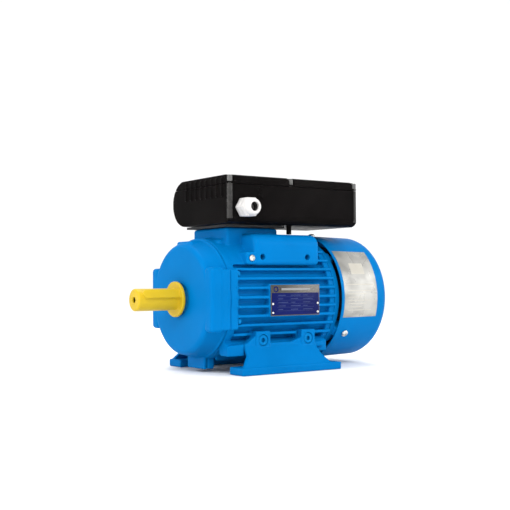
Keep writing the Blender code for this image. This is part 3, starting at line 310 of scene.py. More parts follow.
def radial_point(x, radius, angle):
    return (x, radius * math.cos(angle), SHAFT_Z + radius * math.sin(angle))


def along_shaft(x, radius, angle, rod_r):
    """A rod parallel to the shaft, between two x, at a radius and angle from it."""
    return rod(radial_point(x[0], radius, angle), radial_point(x[1], radius, angle), rod_r)


def across_shaft(x, radial, angle, rod_r):
    """A rod pointing away from the shaft, between two radii."""
    return rod(radial_point(x, radial[0], angle), radial_point(x, radial[1], angle), rod_r)


def shield_screw_places():
    """(y, z) of the four drive-end screws, in pairs at two heights."""
    places = []
    for dz in SHIELD_SCREW_DZ:
        y = math.sqrt(SHIELD_SCREW_R**2 - dz**2)
        places += [(side * y, SHAFT_Z + dz) for side in SIDES]
    return places


def span(side, inner, outer):
    return (min(side * inner, side * outer), max(side * inner, side * outer))


def piece(obj, material, replaces=(), body="housing"):
    """Gives the object its material and its body, and hides the nodes it stands for."""
    obj.data.materials.clear()
    obj.data.materials.append(material)
    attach(obj, body)
    if replaces:
        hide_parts(*replaces)
    return obj


# ---------------------------------------------------------------- materials


class Look:
    """A node material built in steps."""

    def __init__(self, name, colour, roughness, metallic=0.0):
        self.material = bpy.data.materials.new(name)
        self.material.use_nodes = True
        self.tree = self.material.node_tree
        self.shader = self.tree.nodes["Principled BSDF"]
        self.shader.inputs["Base Color"].default_value = (*colour, 1.0)
        self.shader.inputs["Roughness"].default_value = roughness
        self.shader.inputs["Metallic"].default_value = metallic
        self.colour = colour
        self.place = self.tree.nodes.new("ShaderNodeTexCoord").outputs["Object"]
        self.normal = None

    def noise(self, scale, detail=3.0, stretch=None):
        node = self.tree.nodes.new("ShaderNodeTexNoise")
        node.inputs["Scale"].default_value = scale
        node.inputs["Detail"].default_value = detail
        source = self.place
        if stretch:
            mapping = self.tree.nodes.new("ShaderNodeMapping")
            mapping.inputs["Scale"].default_value = stretch
            self.tree.links.new(source, mapping.inputs["Vector"])
            source = mapping.outputs["Vector"]
        self.tree.links.new(source, node.inputs["Vector"])
        return node.outputs["Fac"]

    def spread(self, value, low, high, to_low, to_high):
        node = self.tree.nodes.new("ShaderNodeMapRange")
        node.inputs["From Min"].default_value = low
        node.inputs["From Max"].default_value = high
        node.inputs["To Min"].default_value = to_low
        node.inputs["To Max"].default_value = to_high
        self.tree.links.new(value, node.inputs["Value"])
        return node.outputs["Result"]

    def mix(self, factor, first, second):
        """Mixes two colours, or a colour output and a colour."""
        node = self.tree.nodes.new("ShaderNodeMix")
        node.data_type = "RGBA"
        self.tree.links.new(factor, node.inputs[0])
        for socket, value in ((node.inputs[6], first), (node.inputs[7], second)):
            if isinstance(value, tuple):
                socket.default_value = (*value, 1.0)
            else:
                self.tree.links.new(value, socket)
        return node.outputs[2]

    def tint(self, scale, low, high, detail=3.0, stretch=None):
        """Varies the base colour between two multiples of itself."""
        factor = self.spread(self.noise(scale, detail, stretch), 0.35, 0.65, 0.0, 1.0)
        dark = tuple(c * low for c in self.colour)
        light = tuple(min(c * high, 1.0) for c in self.colour)
        return self.mix(factor, dark, light)

    def wear_and_edge_highlight(self, base, colour):
        """Shows another colour along convex edges, broken up by noise: wear, and a painted
        highlight where the edges catch the light.
        """
        edge = self.tree.nodes.new("ShaderNodeNewGeometry").outputs["Pointiness"]
        factor = self.spread(edge, 0.53, 0.62, 0.0, 0.5)
        product = self.tree.nodes.new("ShaderNodeMath")
        product.operation = "MULTIPLY"
        self.tree.links.new(factor, product.inputs[0])
        self.tree.links.new(self.spread(self.noise(180.0), 0.4, 0.6, 0.2, 1.0), product.inputs[1])
        return self.mix(product.outputs[0], base, colour)

    def painted_crease_shade(self, base):
        """Darkens the base colour in creases: painted shade."""
        edge = self.tree.nodes.new("ShaderNodeNewGeometry").outputs["Pointiness"]
        factor = self.spread(edge, 0.40, 0.48, 0.6, 0.0)
        return self.mix(factor, base, tuple(c * 0.45 for c in self.colour))

    def paint(self, base):
        self.tree.links.new(base, self.shader.inputs["Base Color"])
        return self

    def rough(self, scale, low, high, stretch=None):
        value = self.spread(self.noise(scale, 4.0, stretch), 0.3, 0.7, low, high)
        self.tree.links.new(value, self.shader.inputs["Roughness"])
        return self

    def bump(self, scale, depth, strength, stretch=None):
        """Adds relief of a depth in millimetres."""
        node = self.tree.nodes.new("ShaderNodeBump")
        node.inputs["Strength"].default_value = strength
        node.inputs["Distance"].default_value = depth * MM
        self.tree.links.new(self.noise(scale, 2.0, stretch), node.inputs["Height"])
        if self.normal:
            self.tree.links.new(self.normal, node.inputs["Normal"])
        self.normal = node.outputs["Normal"]
        self.tree.links.new(self.normal, self.shader.inputs["Normal"])
        return self

    def shine(self, level):
        self.shader.inputs["Specular IOR Level"].default_value = level
        return self

    def coat(self, weight, roughness):
        self.shader.inputs["Coat Weight"].default_value = weight
        self.shader.inputs["Coat Roughness"].default_value = roughness
        return self


BLUE = (0.0, 0.138, 0.395)
# Lighter blue that convex edges turn to: wear, and a painted highlight.
WEAR_AND_HIGHLIGHT_BLUE = (0.01, 0.24, 0.5)


def enamel(name, grain, coat_weight):
    look = Look(name, BLUE, 0.38)
    base = look.tint(14.0, 0.94, 1.06)
    # Painted shade in the creases, then wear and a painted highlight along the convex edges.
    base = look.painted_crease_shade(base)
    base = look.wear_and_edge_highlight(base, WEAR_AND_HIGHLIGHT_BLUE)
    look.paint(base).rough(60.0, 0.3, 0.44)
    look.bump(700.0, grain, 0.35).bump(160.0, grain * 2.5, 0.25)
    return look.shine(0.015).coat(coat_weight, 0.15).material


def metal(name, colour, roughness, scratch=None):
    look = Look(name, colour, roughness, 1.0)
    look.paint(look.tint(90.0, 0.9, 1.08, stretch=scratch))
    look.rough(260.0, roughness * 0.75, roughness * 1.3, scratch)
    return look.bump(900.0, 0.02, 0.3, stretch=scratch).material


def plastic(name, colour, roughness, grain=0.03, low=0.93, high=1.08, shine=0.4, edge=0.004):
    look = Look(name, colour, roughness)
    # Convex edges turn lighter: wear, and a painted highlight that grows with edge.
    wear_and_edge_highlight = tuple(min(1.0, c * 1.3 + edge) for c in colour)
    look.paint(look.wear_and_edge_highlight(look.tint(22.0, low, high), wear_and_edge_highlight))
    look.rough(80.0, roughness * 0.85, roughness * 1.2)
    return look.bump(1100.0, grain, 0.4).shine(shine).material


def crinkled():
    """Label foil: warm silver with soft broad reflections."""
    creases = (1.0, 0.6, 1.6)
    look = Look("label_foil", (0.31, 0.305, 0.285), 0.34, 0.3)
    look.paint(look.tint(26.0, 0.72, 1.3, 2.0, creases))
    return look.rough(40.0, 0.2, 0.42).bump(30.0, 0.5, 0.35, creases).material


def laminated():
    """Punched sheets seen edge on: fine lines across the shaft."""
    look = Look("stacked_laminations", (0.2, 0.2, 0.22), 0.45, 0.9)
    look.paint(look.tint(40.0, 0.7, 1.25, stretch=(60.0, 0.4, 0.4)))
    return look.rough(50.0, 0.35, 0.6).bump(40.0, 0.06, 0.6, (60.0, 0.2, 0.2)).material


def wound():
    """Varnished wire: fine strands round the end turns."""
    look = Look("varnished_copper", (0.62, 0.24, 0.09), 0.35, 0.55)
    strands = (4.0, 1.0, 1.0)
    look.paint(look.tint(160.0, 0.55, 1.25, stretch=strands))
    look.rough(60.0, 0.25, 0.5).bump(220.0, 0.5, 0.7, strands)
    return look.coat(0.5, 0.2).material


MATERIALS = {
    "body_blue": enamel("cast_enamel", 0.05, 0.008),
    "cowl_blue": enamel("sheet_enamel", 0.02, 0.015),
    "bearing_steel": metal("bearing_steel", (0.62, 0.62, 0.64), 0.2, (0.4, 6.0, 6.0)),
    "shaft_steel": metal("turned_steel", (0.52, 0.52, 0.53), 0.3, (40.0, 1.0, 1.0)),
    "zinc": metal("zinc_plate", (0.66, 0.66, 0.63), 0.3),
    "lamination": laminated(),
    "copper": wound(),
    "cage_aluminium": metal("cast_aluminium", (0.7, 0.7, 0.72), 0.42),
    # Its edge=0.06 turns the box's edges and ribs light grey: a painted highlight for the gloss of
    # the black moulding.
    "box_black": plastic(
        "box_black", (0.0042, 0.0036, 0.0036), 0.33, 0.05, 0.75, 1.3, shine=0.012, edge=0.06
    ),
    "rubber": plastic("rubber_black", (0.018, 0.018, 0.018), 0.7, 0.05),
    "capacitor": plastic("capacitor_can", (0.72, 0.72, 0.7), 0.45),
    "fan_nylon": plastic("fan_nylon", (0.05, 0.05, 0.055), 0.5),
    "sleeve_yellow": plastic(
        "sleeve_yellow", (0.5, 0.345, 0.011), 0.36, 0.04, 0.92, 1.06, shine=0.2
    ),
    "gland_white": plastic("gland_white", (0.55, 0.54, 0.53), 0.38),
    "plate_foil": plastic(
        "plate_foil", (0.004, 0.008, 0.075), 0.32, 0.02, 0.9, 1.12, shine=0.05
    ),
    "board_brown": plastic("phenolic_board", (0.3, 0.13, 0.05), 0.5, 0.03, 0.8, 1.15),
    "governor_plastic": plastic("governor_plastic", (0.55, 0.12, 0.05), 0.5),
}
SILVER = metal("foil_silver", (0.09, 0.085, 0.08), 0.28, (1.0, 30.0, 30.0))
DULL_ZINC = metal("dull_zinc", (0.13, 0.13, 0.127), 0.4)
# Lighter than the box's black: a painted highlight for the corner columns' gloss.
POST_PAINTED_HIGHLIGHT = plastic("post_painted_highlight", (0.032, 0.031, 0.03), 0.28, 0.03, shine=0.15)
PRINT_GREY = plastic("print_grey", (0.2, 0.2, 0.2), 0.5)
PRINT_FAINT = plastic("print_faint", (0.032, 0.045, 0.125), 0.4, shine=0.05)
PRINT_TAN = plastic("print_tan", (0.4, 0.38, 0.33), 0.45)
LABEL_FOIL = crinkled()
PAINTED_BOLT = enamel("bolt_enamel", 0.03, 0.008)


# ---------------------------------------------------------------- housing


def foot_rails():
    """The side pads, and the rails that carry the feet, with their bosses and end wings."""
    section = [(46.0, 24.0), (50.0, 22.0), (62.0, 22.0), (62.0, 35.0), (54.0, 41.0), (46.0, 41.0)]
    plan = [(36.2, 56.0), (36.2, 65.2), (37.2, 66.0), (57.0, 69.5), (57.0, 56.0)]
    side_view = [(30.0, 22.0), (30.0, 32.5), (36.2, 32.5)]
    side_view += [(39.0, 34.8), (60.0, 36.4), (60.0, 22.0)]
    made_of = []
    for side in SIDES:
        pad = solid("side_pad", [box((36.1, 46.5), span(side, 60, SIDE_PAD_Y), SIDE_PAD_Z)])
        made_of.append(bevelled(pad, 1.2, 3))
        made_of.append(solid("rail", [prism([(side * y, z) for y, z in section], (36.5, 190.0))]))
        wing = solid("wing", [prism([(x, side * y) for x, y in plan], (20, 40), "XY")])
        combine(wing, "INTERSECT", solid("wing_side", [prism(side_view, span(side, 50, 75), "XZ")]))
        made_of.append(wing)
        wing_end = solid("wing_end", [box((166.4, 181), span(side, 56, 66), (28, 35))])
        made_of.append(bevelled(wing_end, 1.5, 3))
        for x in LUG_X:
            boss = box((x - 11.5, x + 11.5), span(side, 44, 62), (28, 51))
            made_of.append(solid("boss", [boss]))
    return made_of


def barrel_fins():
    """Level fins on both sides and upright ones below, with their tips on one circle."""
    fins = []
    for index in range(-4, 6):
        z = SIDE_FIN_Z + index * SIDE_FIN_PITCH
        reach = math.sqrt(FIN_TIP_R**2 - (z - SHAFT_Z) ** 2)
        start = FIN_X[0] if z < SHOULDER_Z else REAR_FIN_X
        for side in SIDES:
            tip, root = side * reach, side * (reach - SIDE_FIN_DEPTH)
            outline = [(tip, z - FIN_TIP_HALF), (tip, z + FIN_TIP_HALF)]
            outline += [(root, z + FIN_ROOT_HALF), (root, z - FIN_ROOT_HALF)]
            fins.append(prism(outline, (start, FIN_X[1])))
    for index in range(-3, 4):
        y = index * LOWER_FIN_PITCH
        low = SHAFT_Z - math.sqrt(FIN_TIP_R**2 - y**2)
        root = low + LOWER_FIN_DEPTH
        outline = [(y - FIN_TIP_HALF, low), (y + FIN_TIP_HALF, low)]
        outline += [(y + FIN_ROOT_HALF, root), (y - FIN_ROOT_HALF, root)]
        fins.append(prism(outline, FIN_X))
    return [solid("fin", [fin]) for fin in fins]


def upper_block():
    """What the barrel carries on top: shoulder, block with lug holes, ridge and box pedestal."""
    front, back = FIN_X[0], 74.0
    shoulder = lathe("shoulder", [(front, 68.0), (front, 75.0), (back, 78.8), (back, 68.0)], 160)
    limit = box((40, 80), (-85, 85), (SHOULDER_Z, 175))
    combine(shoulder, "INTERSECT", solid("upper_limit", [limit]))
    cap_outline = [(-72.0, 131.0), (72.0, 131.0)]
    cap_outline += arc((58.0, 155.5), 14.0, 0, 90, 8) + arc((-58.0, 155.5), 14.0, 90, 180, 8)
    cap = bevelled(solid("cap", [prism(cap_outline, (73.0, 172.0))]), 5.0, 4, 60)
    ridge = bevelled(solid("ridge", [box((44, 188), (-34, 34), (130, 163.5))]), 4.0, 3)
    pedestal = bevelled(solid("pedestal", [box((53, 130), (-40, 40), (150, 178))]), 3.5, 3)
    return shoulder, cap, ridge, pedestal


def housing():
    front_ring = [(36.0, 60.0), (36.0, 74.4), (36.8, 75.2), (45.6, 75.2), (46.6, 74.2)]
    barrel = [(46.6, 69.5), (186.0, 69.5)]
    rear_ring = [(186.0, 74.4), (186.6, 75.0), (193.4, 75.0), (194.0, 74.4), (194.0, 60.0)]
    body = lathe("housing_casting", front_ring + barrel + rear_ring, 160)
    pad = solid("plate_pad", [box((89, 166), (-78.5, -64), (68, 108))])
    boss = bevelled(solid("earth_boss", [box((61, 76), (-71, -48), (132, 147))]), 2.0, 3)
    lug = bevelled(solid("bottom_lug", [box((36.5, 46.6), BOTTOM_LUG_Y, (4, 30))]), 2.0, 3)
    combine(body, "UNION", *barrel_fins(), *foot_rails())
    room_x = ((64, 98), (139, 166))
    rooms = [box(x, span(side, 62, 68), (44, 52)) for side in SIDES for x in room_x]
    combine(body, "DIFFERENCE", solid("foot_rooms", rooms))
    combine(body, "UNION", *upper_block(), pad, boss, lug)
    bore = solid("bore", [rod((30, 0, SHAFT_Z), (200, 0, SHAFT_Z), STATOR_BORE_R, 160)])
    window = solid("window", [box(*WINDOW, (130, 184))])
    rooms = [rod((46.65, y, z), (53, y, z), 5.2) for y, z in shield_screw_places()]
    holes = [rod((30, y, z), (50, y, z), M5_HOLE_R) for y, z in shield_screw_places()]
    for angle in QUARTERS:
        holes.append(along_shaft((178, 200), REAR_SCREW_R, angle, M5_HOLE_R))
    for x in LUG_X:
        for side in SIDES:
            holes.append(rod((x, side * 52, LUG_Z), (x, side * 64, LUG_Z), 4.3))
            holes.append(rod((x, side * 60, UPPER_LUG_Z), (x, side * 80, UPPER_LUG_Z), 3.6))
    x, z = EARTH_SCREW
    holes.append(rod((x, -59, z), (x, -75, z), M5_HOLE_R))
    combine(body, "DIFFERENCE", window, bore, solid("rooms", rooms), solid("holes", holes))
    cast(body, 0.9, 3, 0.5)
    piece(body, MATERIALS["body_blue"], replaces=["frame"])


def drive_shield():
    face = [(9.5, 18.3), *arc((16.5, 62.0), 7.0, 180, 90, 10), (31.6, 72.8), (32.5, 73.3)]
    rim = [(32.7, 74.0), *arc((33.7, 74.0), 1.0, 180, 90, 4), (35.0, 75.0), (35.7, 74.4)]
    spigot = [(35.7, 65.0), (41.0, 65.0), (41.0, 60.8)]
    inside = [(22.0, 60.8), (14.5, 53.0), (14.5, 31.5)]
    bearing_seat = [(31.0, 31.5), (31.0, 26.3), (14.7, 26.3), (14.7, 18.3)]
    profile = face + rim + spigot + inside + bearing_seat
    body = lathe("drive_end_casting", profile, 160)
    z = (SHAFT_Z - 38.5, SHAFT_Z + 38.5)
    pads = solid("pads", [box((9.6, 27.0), span(side, 56, 73), z) for side in SIDES])
    bevelled(pads, 4.5, 5)
    ear = bevelled(solid("ear", [box((15, 35.7), (-18, 18), (152, 161.3))]), 2.8, 3)
    lug = bevelled(solid("lug", [box((31.5, 35.7), BOTTOM_LUG_Y, (4, 22))]), 1.2, 3)
    sides = [box((24, 35.9), span(side, 58, SIDE_PAD_Y), SIDE_PAD_Z) for side in SIDES]
    combine(body, "UNION", pads, ear, lug, bevelled(solid("sides", sides), 1.2, 3))
    holes = [rod((20, y, z), (40, y, z), M5_HOLE_R) for y, z in shield_screw_places()]
    combine(body, "DIFFERENCE", solid("holes", holes))
    cast(body, 0.7, 6, 0.5)
    piece(body, MATERIALS["body_blue"], replaces=["drive_end_shield"])


def rear_shield():
    spigot = [(189.5, 60.8), (189.5, 65.0), (194.3, 65.0)]
    rim = [(194.3, 74.6), (194.7, 75.0), (201.0, 75.0), (202.0, 74.0)]
    face = [(205.0, 69.0), (205.0, 35.0), (208.0, 31.5), (221.4, 31.5), (222.0, 30.9)]
    bearing_seat = [(222.0, 13.2), (219.5, 13.2), (219.5, 26.3), (198.0, 26.3)]
    inside = [(198.0, 31.5), (200.0, 35.0), (200.0, 60.8)]
    body = lathe("rear_end_casting", spigot + rim + face + bearing_seat + inside, 160)
    arms, holes, pads = [], [], []
    for angle in COWL_SCREW_ANGLES:
        arms.append(turned_box((201, 222), (62, 79.0), 6.0, angle))
        holes.append(across_shaft(COWL_SCREW_X, (66, 82), angle, M5_HOLE_R))
    for angle in QUARTERS:
        holes.append(along_shaft((190, 206), REAR_SCREW_R, angle, M5_HOLE_R))
        pads.append(turned_box((194.4, 205), (61.5, 75), 6.0, angle))
    combine(body, "UNION", *[solid("arm", [arm]) for arm in arms + pads])
    combine(body, "DIFFERENCE", *[solid("hole", [hole]) for hole in holes])
    cast(body, 0.9, 3, 0.5)
    piece(body, MATERIALS["body_blue"], replaces=["rear_end_shield"])


def foot(name, side):
    flange = bevelled(solid(name, [box((43.5, 193.5), span(side, 58.0, 87.5), (0, 9.3))]), 1.4, 3)
    section = [(62.3, 4.0), (86.3, 4.0), (86.3, 8.3), (84.5, 11.5)]
    section += [(70.5, 34.2), (70.5, 52.0), (62.3, 52.0)]
    web = solid("web", [prism([(side * y, z) for y, z in section], (44.0, 182.0))])
    rear_slope = [(178, 9.5), (168, 20.6), (165.2, 27.5), (165.2, 36), (160, 46)]
    top = [(146, 46), (141, 41), (128, 36.5), (97, 36.5), (92, 46), (76, 47.3)]
    front_slope = [(68.4, 42.1), (62.5, 37.6), (57.6, 36), (57.6, 22), (47, 9.5)]
    outline = [(47, 2), (178, 2), *rear_slope, *top, *front_slope]
    combine(web, "INTERSECT", solid("side_view", [prism(outline, span(side, 55, 95), "XZ")]))
    pads = [box((x - 10.7, x + 10.7), span(side, 62.3, 72), (28, 51)) for x in LUG_X]
    combine(flange, "UNION", web, bevelled(solid("pads", pads), 1.0, 3))
    pocket = [(side * y, z) for y, z in ((61, 9.2), (80.6, 9.2), (67.2, 31), (61, 31))]
    rooms = solid("pockets", [prism(pocket, (40, 66.5)), prism(pocket, (170.5, 185))])
    y = side * FOOT_HOLE_Y
    holes = [rod((x, y, -2), (x, y, 12), FOOT_HOLE_R) for x in FOOT_HOLE_X]
    holes += [rod((x, side * 60, LUG_Z), (x, side * 68, LUG_Z), 4.4) for x in LUG_X]
    bores = [rod((x, side * 67, LUG_Z), (x, side * 84, LUG_Z), 7.0) for x in LUG_X]
    combine(flange, "DIFFERENCE", rooms, solid("holes", holes), solid("bores", bores))
    cast(flange, 0.6, 3, 0.5)
    node = name.replace("_casting", "")
    piece(flange, MATERIALS["body_blue"], replaces=[node])


def grille_slots():
    """Three rings of curved slots in the cowl's end, with the webs of each ring between them."""
    slots = []
    for ring in range(3):
        low = 17.0 + 15.0 * ring
        count = 4 + ring
        for sector in range(count):
            half = 180.0 / count
            mid = 2 * half * (sector + (0.5 if ring % 2 else 0.0))
            reach = half - math.degrees(3.5 / (low + 2.5))
            outline = arc((0, SHAFT_Z), low, mid - reach, mid + reach, 20)
            outline += arc((0, SHAFT_Z), low + 8.0, mid + reach, mid - reach, 20)
            slots.append(prism(outline, (COWL_X[1] - 6, COWL_X[1] + 5)))
    return slots


def cowl():
    front, rear = COWL_X
    inner = rear - COWL_SHEET
    centre = (rear - COWL_BEND_R, COWL_R[1] - COWL_BEND_R)
    profile = [(rear, 0.0), (rear, 16.0), (rear - 0.8, 17.5), (rear - 0.8, 24.5), (rear, 26.0)]
    profile += arc(centre, COWL_BEND_R, 0, 90, 16)
    profile += [(front + 0.5, COWL_R[0]), (front, COWL_R[0] - 0.4)]
    profile += [(front, COWL_R[0] - COWL_SHEET + 0.4), (front + 0.5, COWL_R[0] - COWL_SHEET)]
    profile += arc(centre, COWL_BEND_R - COWL_SHEET, 90, 0, 16)
    profile += [(inner, 26.0), (inner - 0.8, 24.5)]
    profile += [(inner - 0.8, 17.5), (inner, 16.0), (inner, 0.0)]
    body = lathe("cowl_pressing", profile, 192, True)
    holes = [across_shaft(COWL_SCREW_X, (70, 90), angle, 2.9) for angle in COWL_SCREW_ANGLES]
    combine(body, "DIFFERENCE", solid("slots", grille_slots()), solid("holes", holes))
    bevelled(softened(body, 30), 0.25, 2, 50)
    piece(body, MATERIALS["cowl_blue"], replaces=["fan_cowl"])


def cowl_radius(x):
    share = (x - COWL_X[0]) / (COWL_X[1] - COWL_BEND_R - COWL_X[0])
    return COWL_R[0] + (COWL_R[1] - COWL_R[0]) * share


def cowl_patch(name, x, z, lift, thickness, material, columns=24, rows=32):
    """A thin sheet laid on the near side of the cowl, between two heights."""
    bm = bmesh.new()
    grid = []
    angles = [math.asin((height - SHAFT_Z) / COWL_R[0]) for height in z]
    for outer in (0.0, thickness):
        layer = []
        for i in range(columns + 1):
            along = x[0] + (x[1] - x[0]) * i / columns
            radius = cowl_radius(along) + lift + outer
            line = []
            for j in range(rows + 1):
                angle = angles[0] + (angles[1] - angles[0]) * j / rows
                height = SHAFT_Z + radius * math.sin(angle)
                line.append(bm.verts.new((along, -radius * math.cos(angle), height)))
            layer.append(line)
        grid.append(layer)
    under, over = grid
    for i in range(columns):
        for j in range(rows):
            bm.faces.new([over[i][j], over[i + 1][j], over[i + 1][j + 1], over[i][j + 1]])
            bm.faces.new([under[i][j + 1], under[i + 1][j + 1], under[i + 1][j], under[i][j]])
    rim = [(i, 0) for i in range(columns)] + [(columns, j) for j in range(rows)]
    rim += [(i, rows) for i in range(columns, 0, -1)] + [(0, j) for j in range(rows, 0, -1)]
    for (a, b), (c, d) in zip(rim, rim[1:] + rim[:1]):
        bm.faces.new([under[a][b], under[c][d], over[c][d], over[a][b]])
    obj = softened(made(name, bm), 40)
    return piece(obj, material)


def cowl_label():
    gap, foil, ink = 0.05, 0.12, 0.05
    cowl_patch("cowl_label", (205.0, 262.0), (64.0, 150.0), gap, foil, LABEL_FOIL)
    on_foil = gap + foil
    for line in range(7):
        z = (98.0 - 4.2 * line, 98.9 - 4.2 * line)
        end = 252.0 - 9.0 * (line % 3)
        cowl_patch(f"label_rule_{line}", (211.0, end), z, on_foil, ink, PRINT_TAN, 10, 2)
    cowl_patch("label_band", (209.0, 258.0), (106.0, 107.2), on_foil, ink, PRINT_TAN, 10, 2)
    cowl_patch("label_panel", (222.0, 245.0), (120.0, 134.0), on_foil, ink, PRINT_TAN, 10, 10)


# ---------------------------------------------------------------- screws and plates


def screw_piece(name, head, shank, socket, at, towards, material, dome=False):
    """A screw with a domed head and a cross, or a bevelled head and a socket, and a shank."""
    head_r, head_h = head
    shank_r, length = shank
    turn = Vector(towards).to_track_quat("X", "Z").to_matrix().to_4x4()
    matrix = Matrix.Translation(at) @ turn
    profile = [(-length, 0.0), (-length, shank_r), (0.0, shank_r), (0.0, head_r - 0.2)]
    if dome:
        bends = [math.radians(15 * i) for i in range(1, 6)]
        profile += [(head_h * math.sin(a), head_r * math.cos(a)) for a in bends]
    else:
        profile += [(0.2, head_r), (head_h - 0.5, head_r), (head_h, head_r - 0.5)]
    obj = solid(name, [swept([*profile, (head_h, 0.0)], 40, True, matrix)])
    if dome:
        arm, half = head_r * 0.62, head_r * 0.13
        for y, z in ((arm, half), (half, arm)):
            size = Matrix.Diagonal((head_h * 1.1, 2 * y, 2 * z, 1.0))
            cross = unit_cube(matrix @ Matrix.Translation((head_h, 0, 0)) @ size)
            combine(obj, "DIFFERENCE", solid("cross", [cross]))
    else:
        start, end = matrix @ Vector((head_h * 0.4, 0, 0)), matrix @ Vector((head_h + 1, 0, 0))
        combine(obj, "DIFFERENCE", solid("socket", [rod(start, end, socket, 6)]))
    softened(obj, 30)
    return piece(obj, material, replaces=[name.replace("_fine", "")])


def painted_screw(name, head, shank, socket, at, towards):
    screw_piece(f"{name}_fine", head, shank, socket, at, towards, PAINTED_BOLT)


def screws():
    zinc = MATERIALS["zinc"]
    places = [(x, side) for side in SIDES for x in LUG_X]
    for number, (x, side) in enumerate(places, 1):
        at = (x, side * 67.3, LUG_Z)
        painted_screw(f"foot_bolt_{number}", (6.4, 4.2), (4.0, 12.0), 3.0, at, (0, side, 0))
    m5_head, m5_shank, m5_socket = (4.2, 4.5), (2.5, 20.0), 2.1
    for number, (y, z) in enumerate(shield_screw_places(), 1):
        name = f"drive_shield_screw_{number}"
        painted_screw(name, m5_head, m5_shank, m5_socket, (46.9, y, z), (1, 0, 0))
    for number, angle in enumerate(QUARTERS, 1):
        at = radial_point(205.3, REAR_SCREW_R, angle)
        name = f"rear_shield_screw_{number}"
        painted_screw(name, m5_head, m5_shank, m5_socket, at, (1, 0, 0))
    at = (EARTH_SCREW[0], -71.3, EARTH_SCREW[1])
    screw_piece("earth_screw_fine", (4.1, 3.0), (2.5, 9.0), 2.2, at, (0, -1, 0), zinc, dome=True)
    for number, angle in enumerate(COWL_SCREW_ANGLES, 1):
        at = radial_point(COWL_SCREW_X, COWL_R[0] + 0.2, angle)
        towards = (0, math.cos(angle), math.sin(angle))
        name = f"cowl_screw_{number}_fine"
        screw_piece(name, (4.8, 3.0), (2.5, 9.0), 2.2, at, towards, zinc, dome=True)
    for number, (x, y) in enumerate(COVER_SCREWS, 1):
        at = (x, y, BOX_SPLIT_Z + 2.8)
        name = f"cover_screw_{number}_fine"
        screw_piece(name, (3.4, 6.8), (1.6, 14.0), 1.7, at, (0, 0, 1), DULL_ZINC)


def slab(name, x, y, z, material, bevel):
    obj = bevelled(solid(name, [box(x, y, z)]), bevel, 2)
    return piece(softened(obj), material)


def nameplate():
    plate = solid("nameplate_foil", [box((90, 165), (PLATE_FRONT_Y, PLATE_BACK_Y), (69, 107))])
    bevelled(plate, 0.25, 3)
    piece(softened(plate), SILVER, replaces=["nameplate"])
    field = MATERIALS["plate_foil"]
    field_y = (FIELD_FRONT_Y, PLATE_FRONT_Y)
    slab("nameplate_field", (91.2, 163.8), field_y, (70.2, 97.0), field, 0.05)
    ink = (FIELD_FRONT_Y - 0.06, FIELD_FRONT_Y)
    for row in range(5):
        z = 75.0 + 4.3 * row
        slab(f"nameplate_rule_{row}", (99, 156), ink, (z, z + 0.3), PRINT_FAINT, 0.02)
        for column in range(3):
            x = 101.0 + 19.0 * column
            end = x + 7.0 + 4.0 * ((row + column) % 3)
            name = f"nameplate_entry_{row}_{column}"
            slab(name, (x, end), ink, (z + 1.4, z + 2.3), PRINT_FAINT, 0.02)
    ring = [(-0.2, 2.2), (-0.2, 3.6), (0.0, 3.6), (0.0, 2.2)]
    inwards, outwards = [Matrix.Rotation(turn * math.pi / 2, 4, "Z") for turn in (1, -1)]
    place = Matrix.Translation((97.5, PLATE_FRONT_Y, 101.5)) @ inwards
    piece(solid("nameplate_ring", [swept(ring, 40, False, place)]), field)
    heading = (PLATE_FRONT_Y - 0.12, PLATE_FRONT_Y)
    slab("nameplate_heading", (106, 150), heading, (100.2, 102.8), PRINT_GREY, 0.03)
    dome = [(0.0, 0.0), (0.0, 1.5), (0.35, 1.4), (0.7, 1.0), (0.9, 0.5), (0.95, 0.0)]
    for number, (x, z) in enumerate(RIVETS, 1):
        place = Matrix.Translation((x, FIELD_FRONT_Y, z)) @ outwards
        rivet = solid(f"nameplate_rivet_{number}", [swept(dome, 24, True, place)])
        piece(softened(rivet, 60), MATERIALS["zinc"])


# ---------------------------------------------------------------- terminal box


def box_outline(inset, low, high):
    """The box's section between two heights: round on the far side, with small near corners."""
    centre_z = BOX_FAR_CENTRE[1]
    radius = BOX_FAR_R - inset
    near = BOX_NEAR_Y + inset
    bottom, top = max(low, centre_z - radius), min(high, centre_z + radius)
    start = math.degrees(math.asin((bottom - centre_z) / radius))
    end = math.degrees(math.asin((top - centre_z) / radius))
    points = arc(BOX_FAR_CENTRE, radius, start, end, 28)
    if high > centre_z + radius - 1:
        points += arc((near + 5, high - 5), 5.0, 90, 180, 8)
    else:
        points.append((near, high))
    if low < centre_z:
        points += [(near, low + 9.0), (near + 1.2, low + 5.0)]
        points += [(near + 4, low + 2.0), (near + 9, low)]
    else:
        points.append((near, low))
    return points


def end_ribs(z):
    ribs = []
    for index in range(8):
        y = -52.0 + 12.0 * index
        ribs.append(box((BOX_X[0] - 1.5, BOX_X[0] + 1), (y - 1.6, y + 1.6), z))
        ribs.append(box((BOX_X[1] - 1, BOX_X[1] + 1.5), (y - 1.6, y + 1.6), z))
    return ribs


def upright(x, y):
    """Places shapes made along the local X axis on a vertical line."""
    return Matrix.Translation((x, y, 0.0)) @ Matrix.Rotation(-math.pi / 2, 4, "Y")


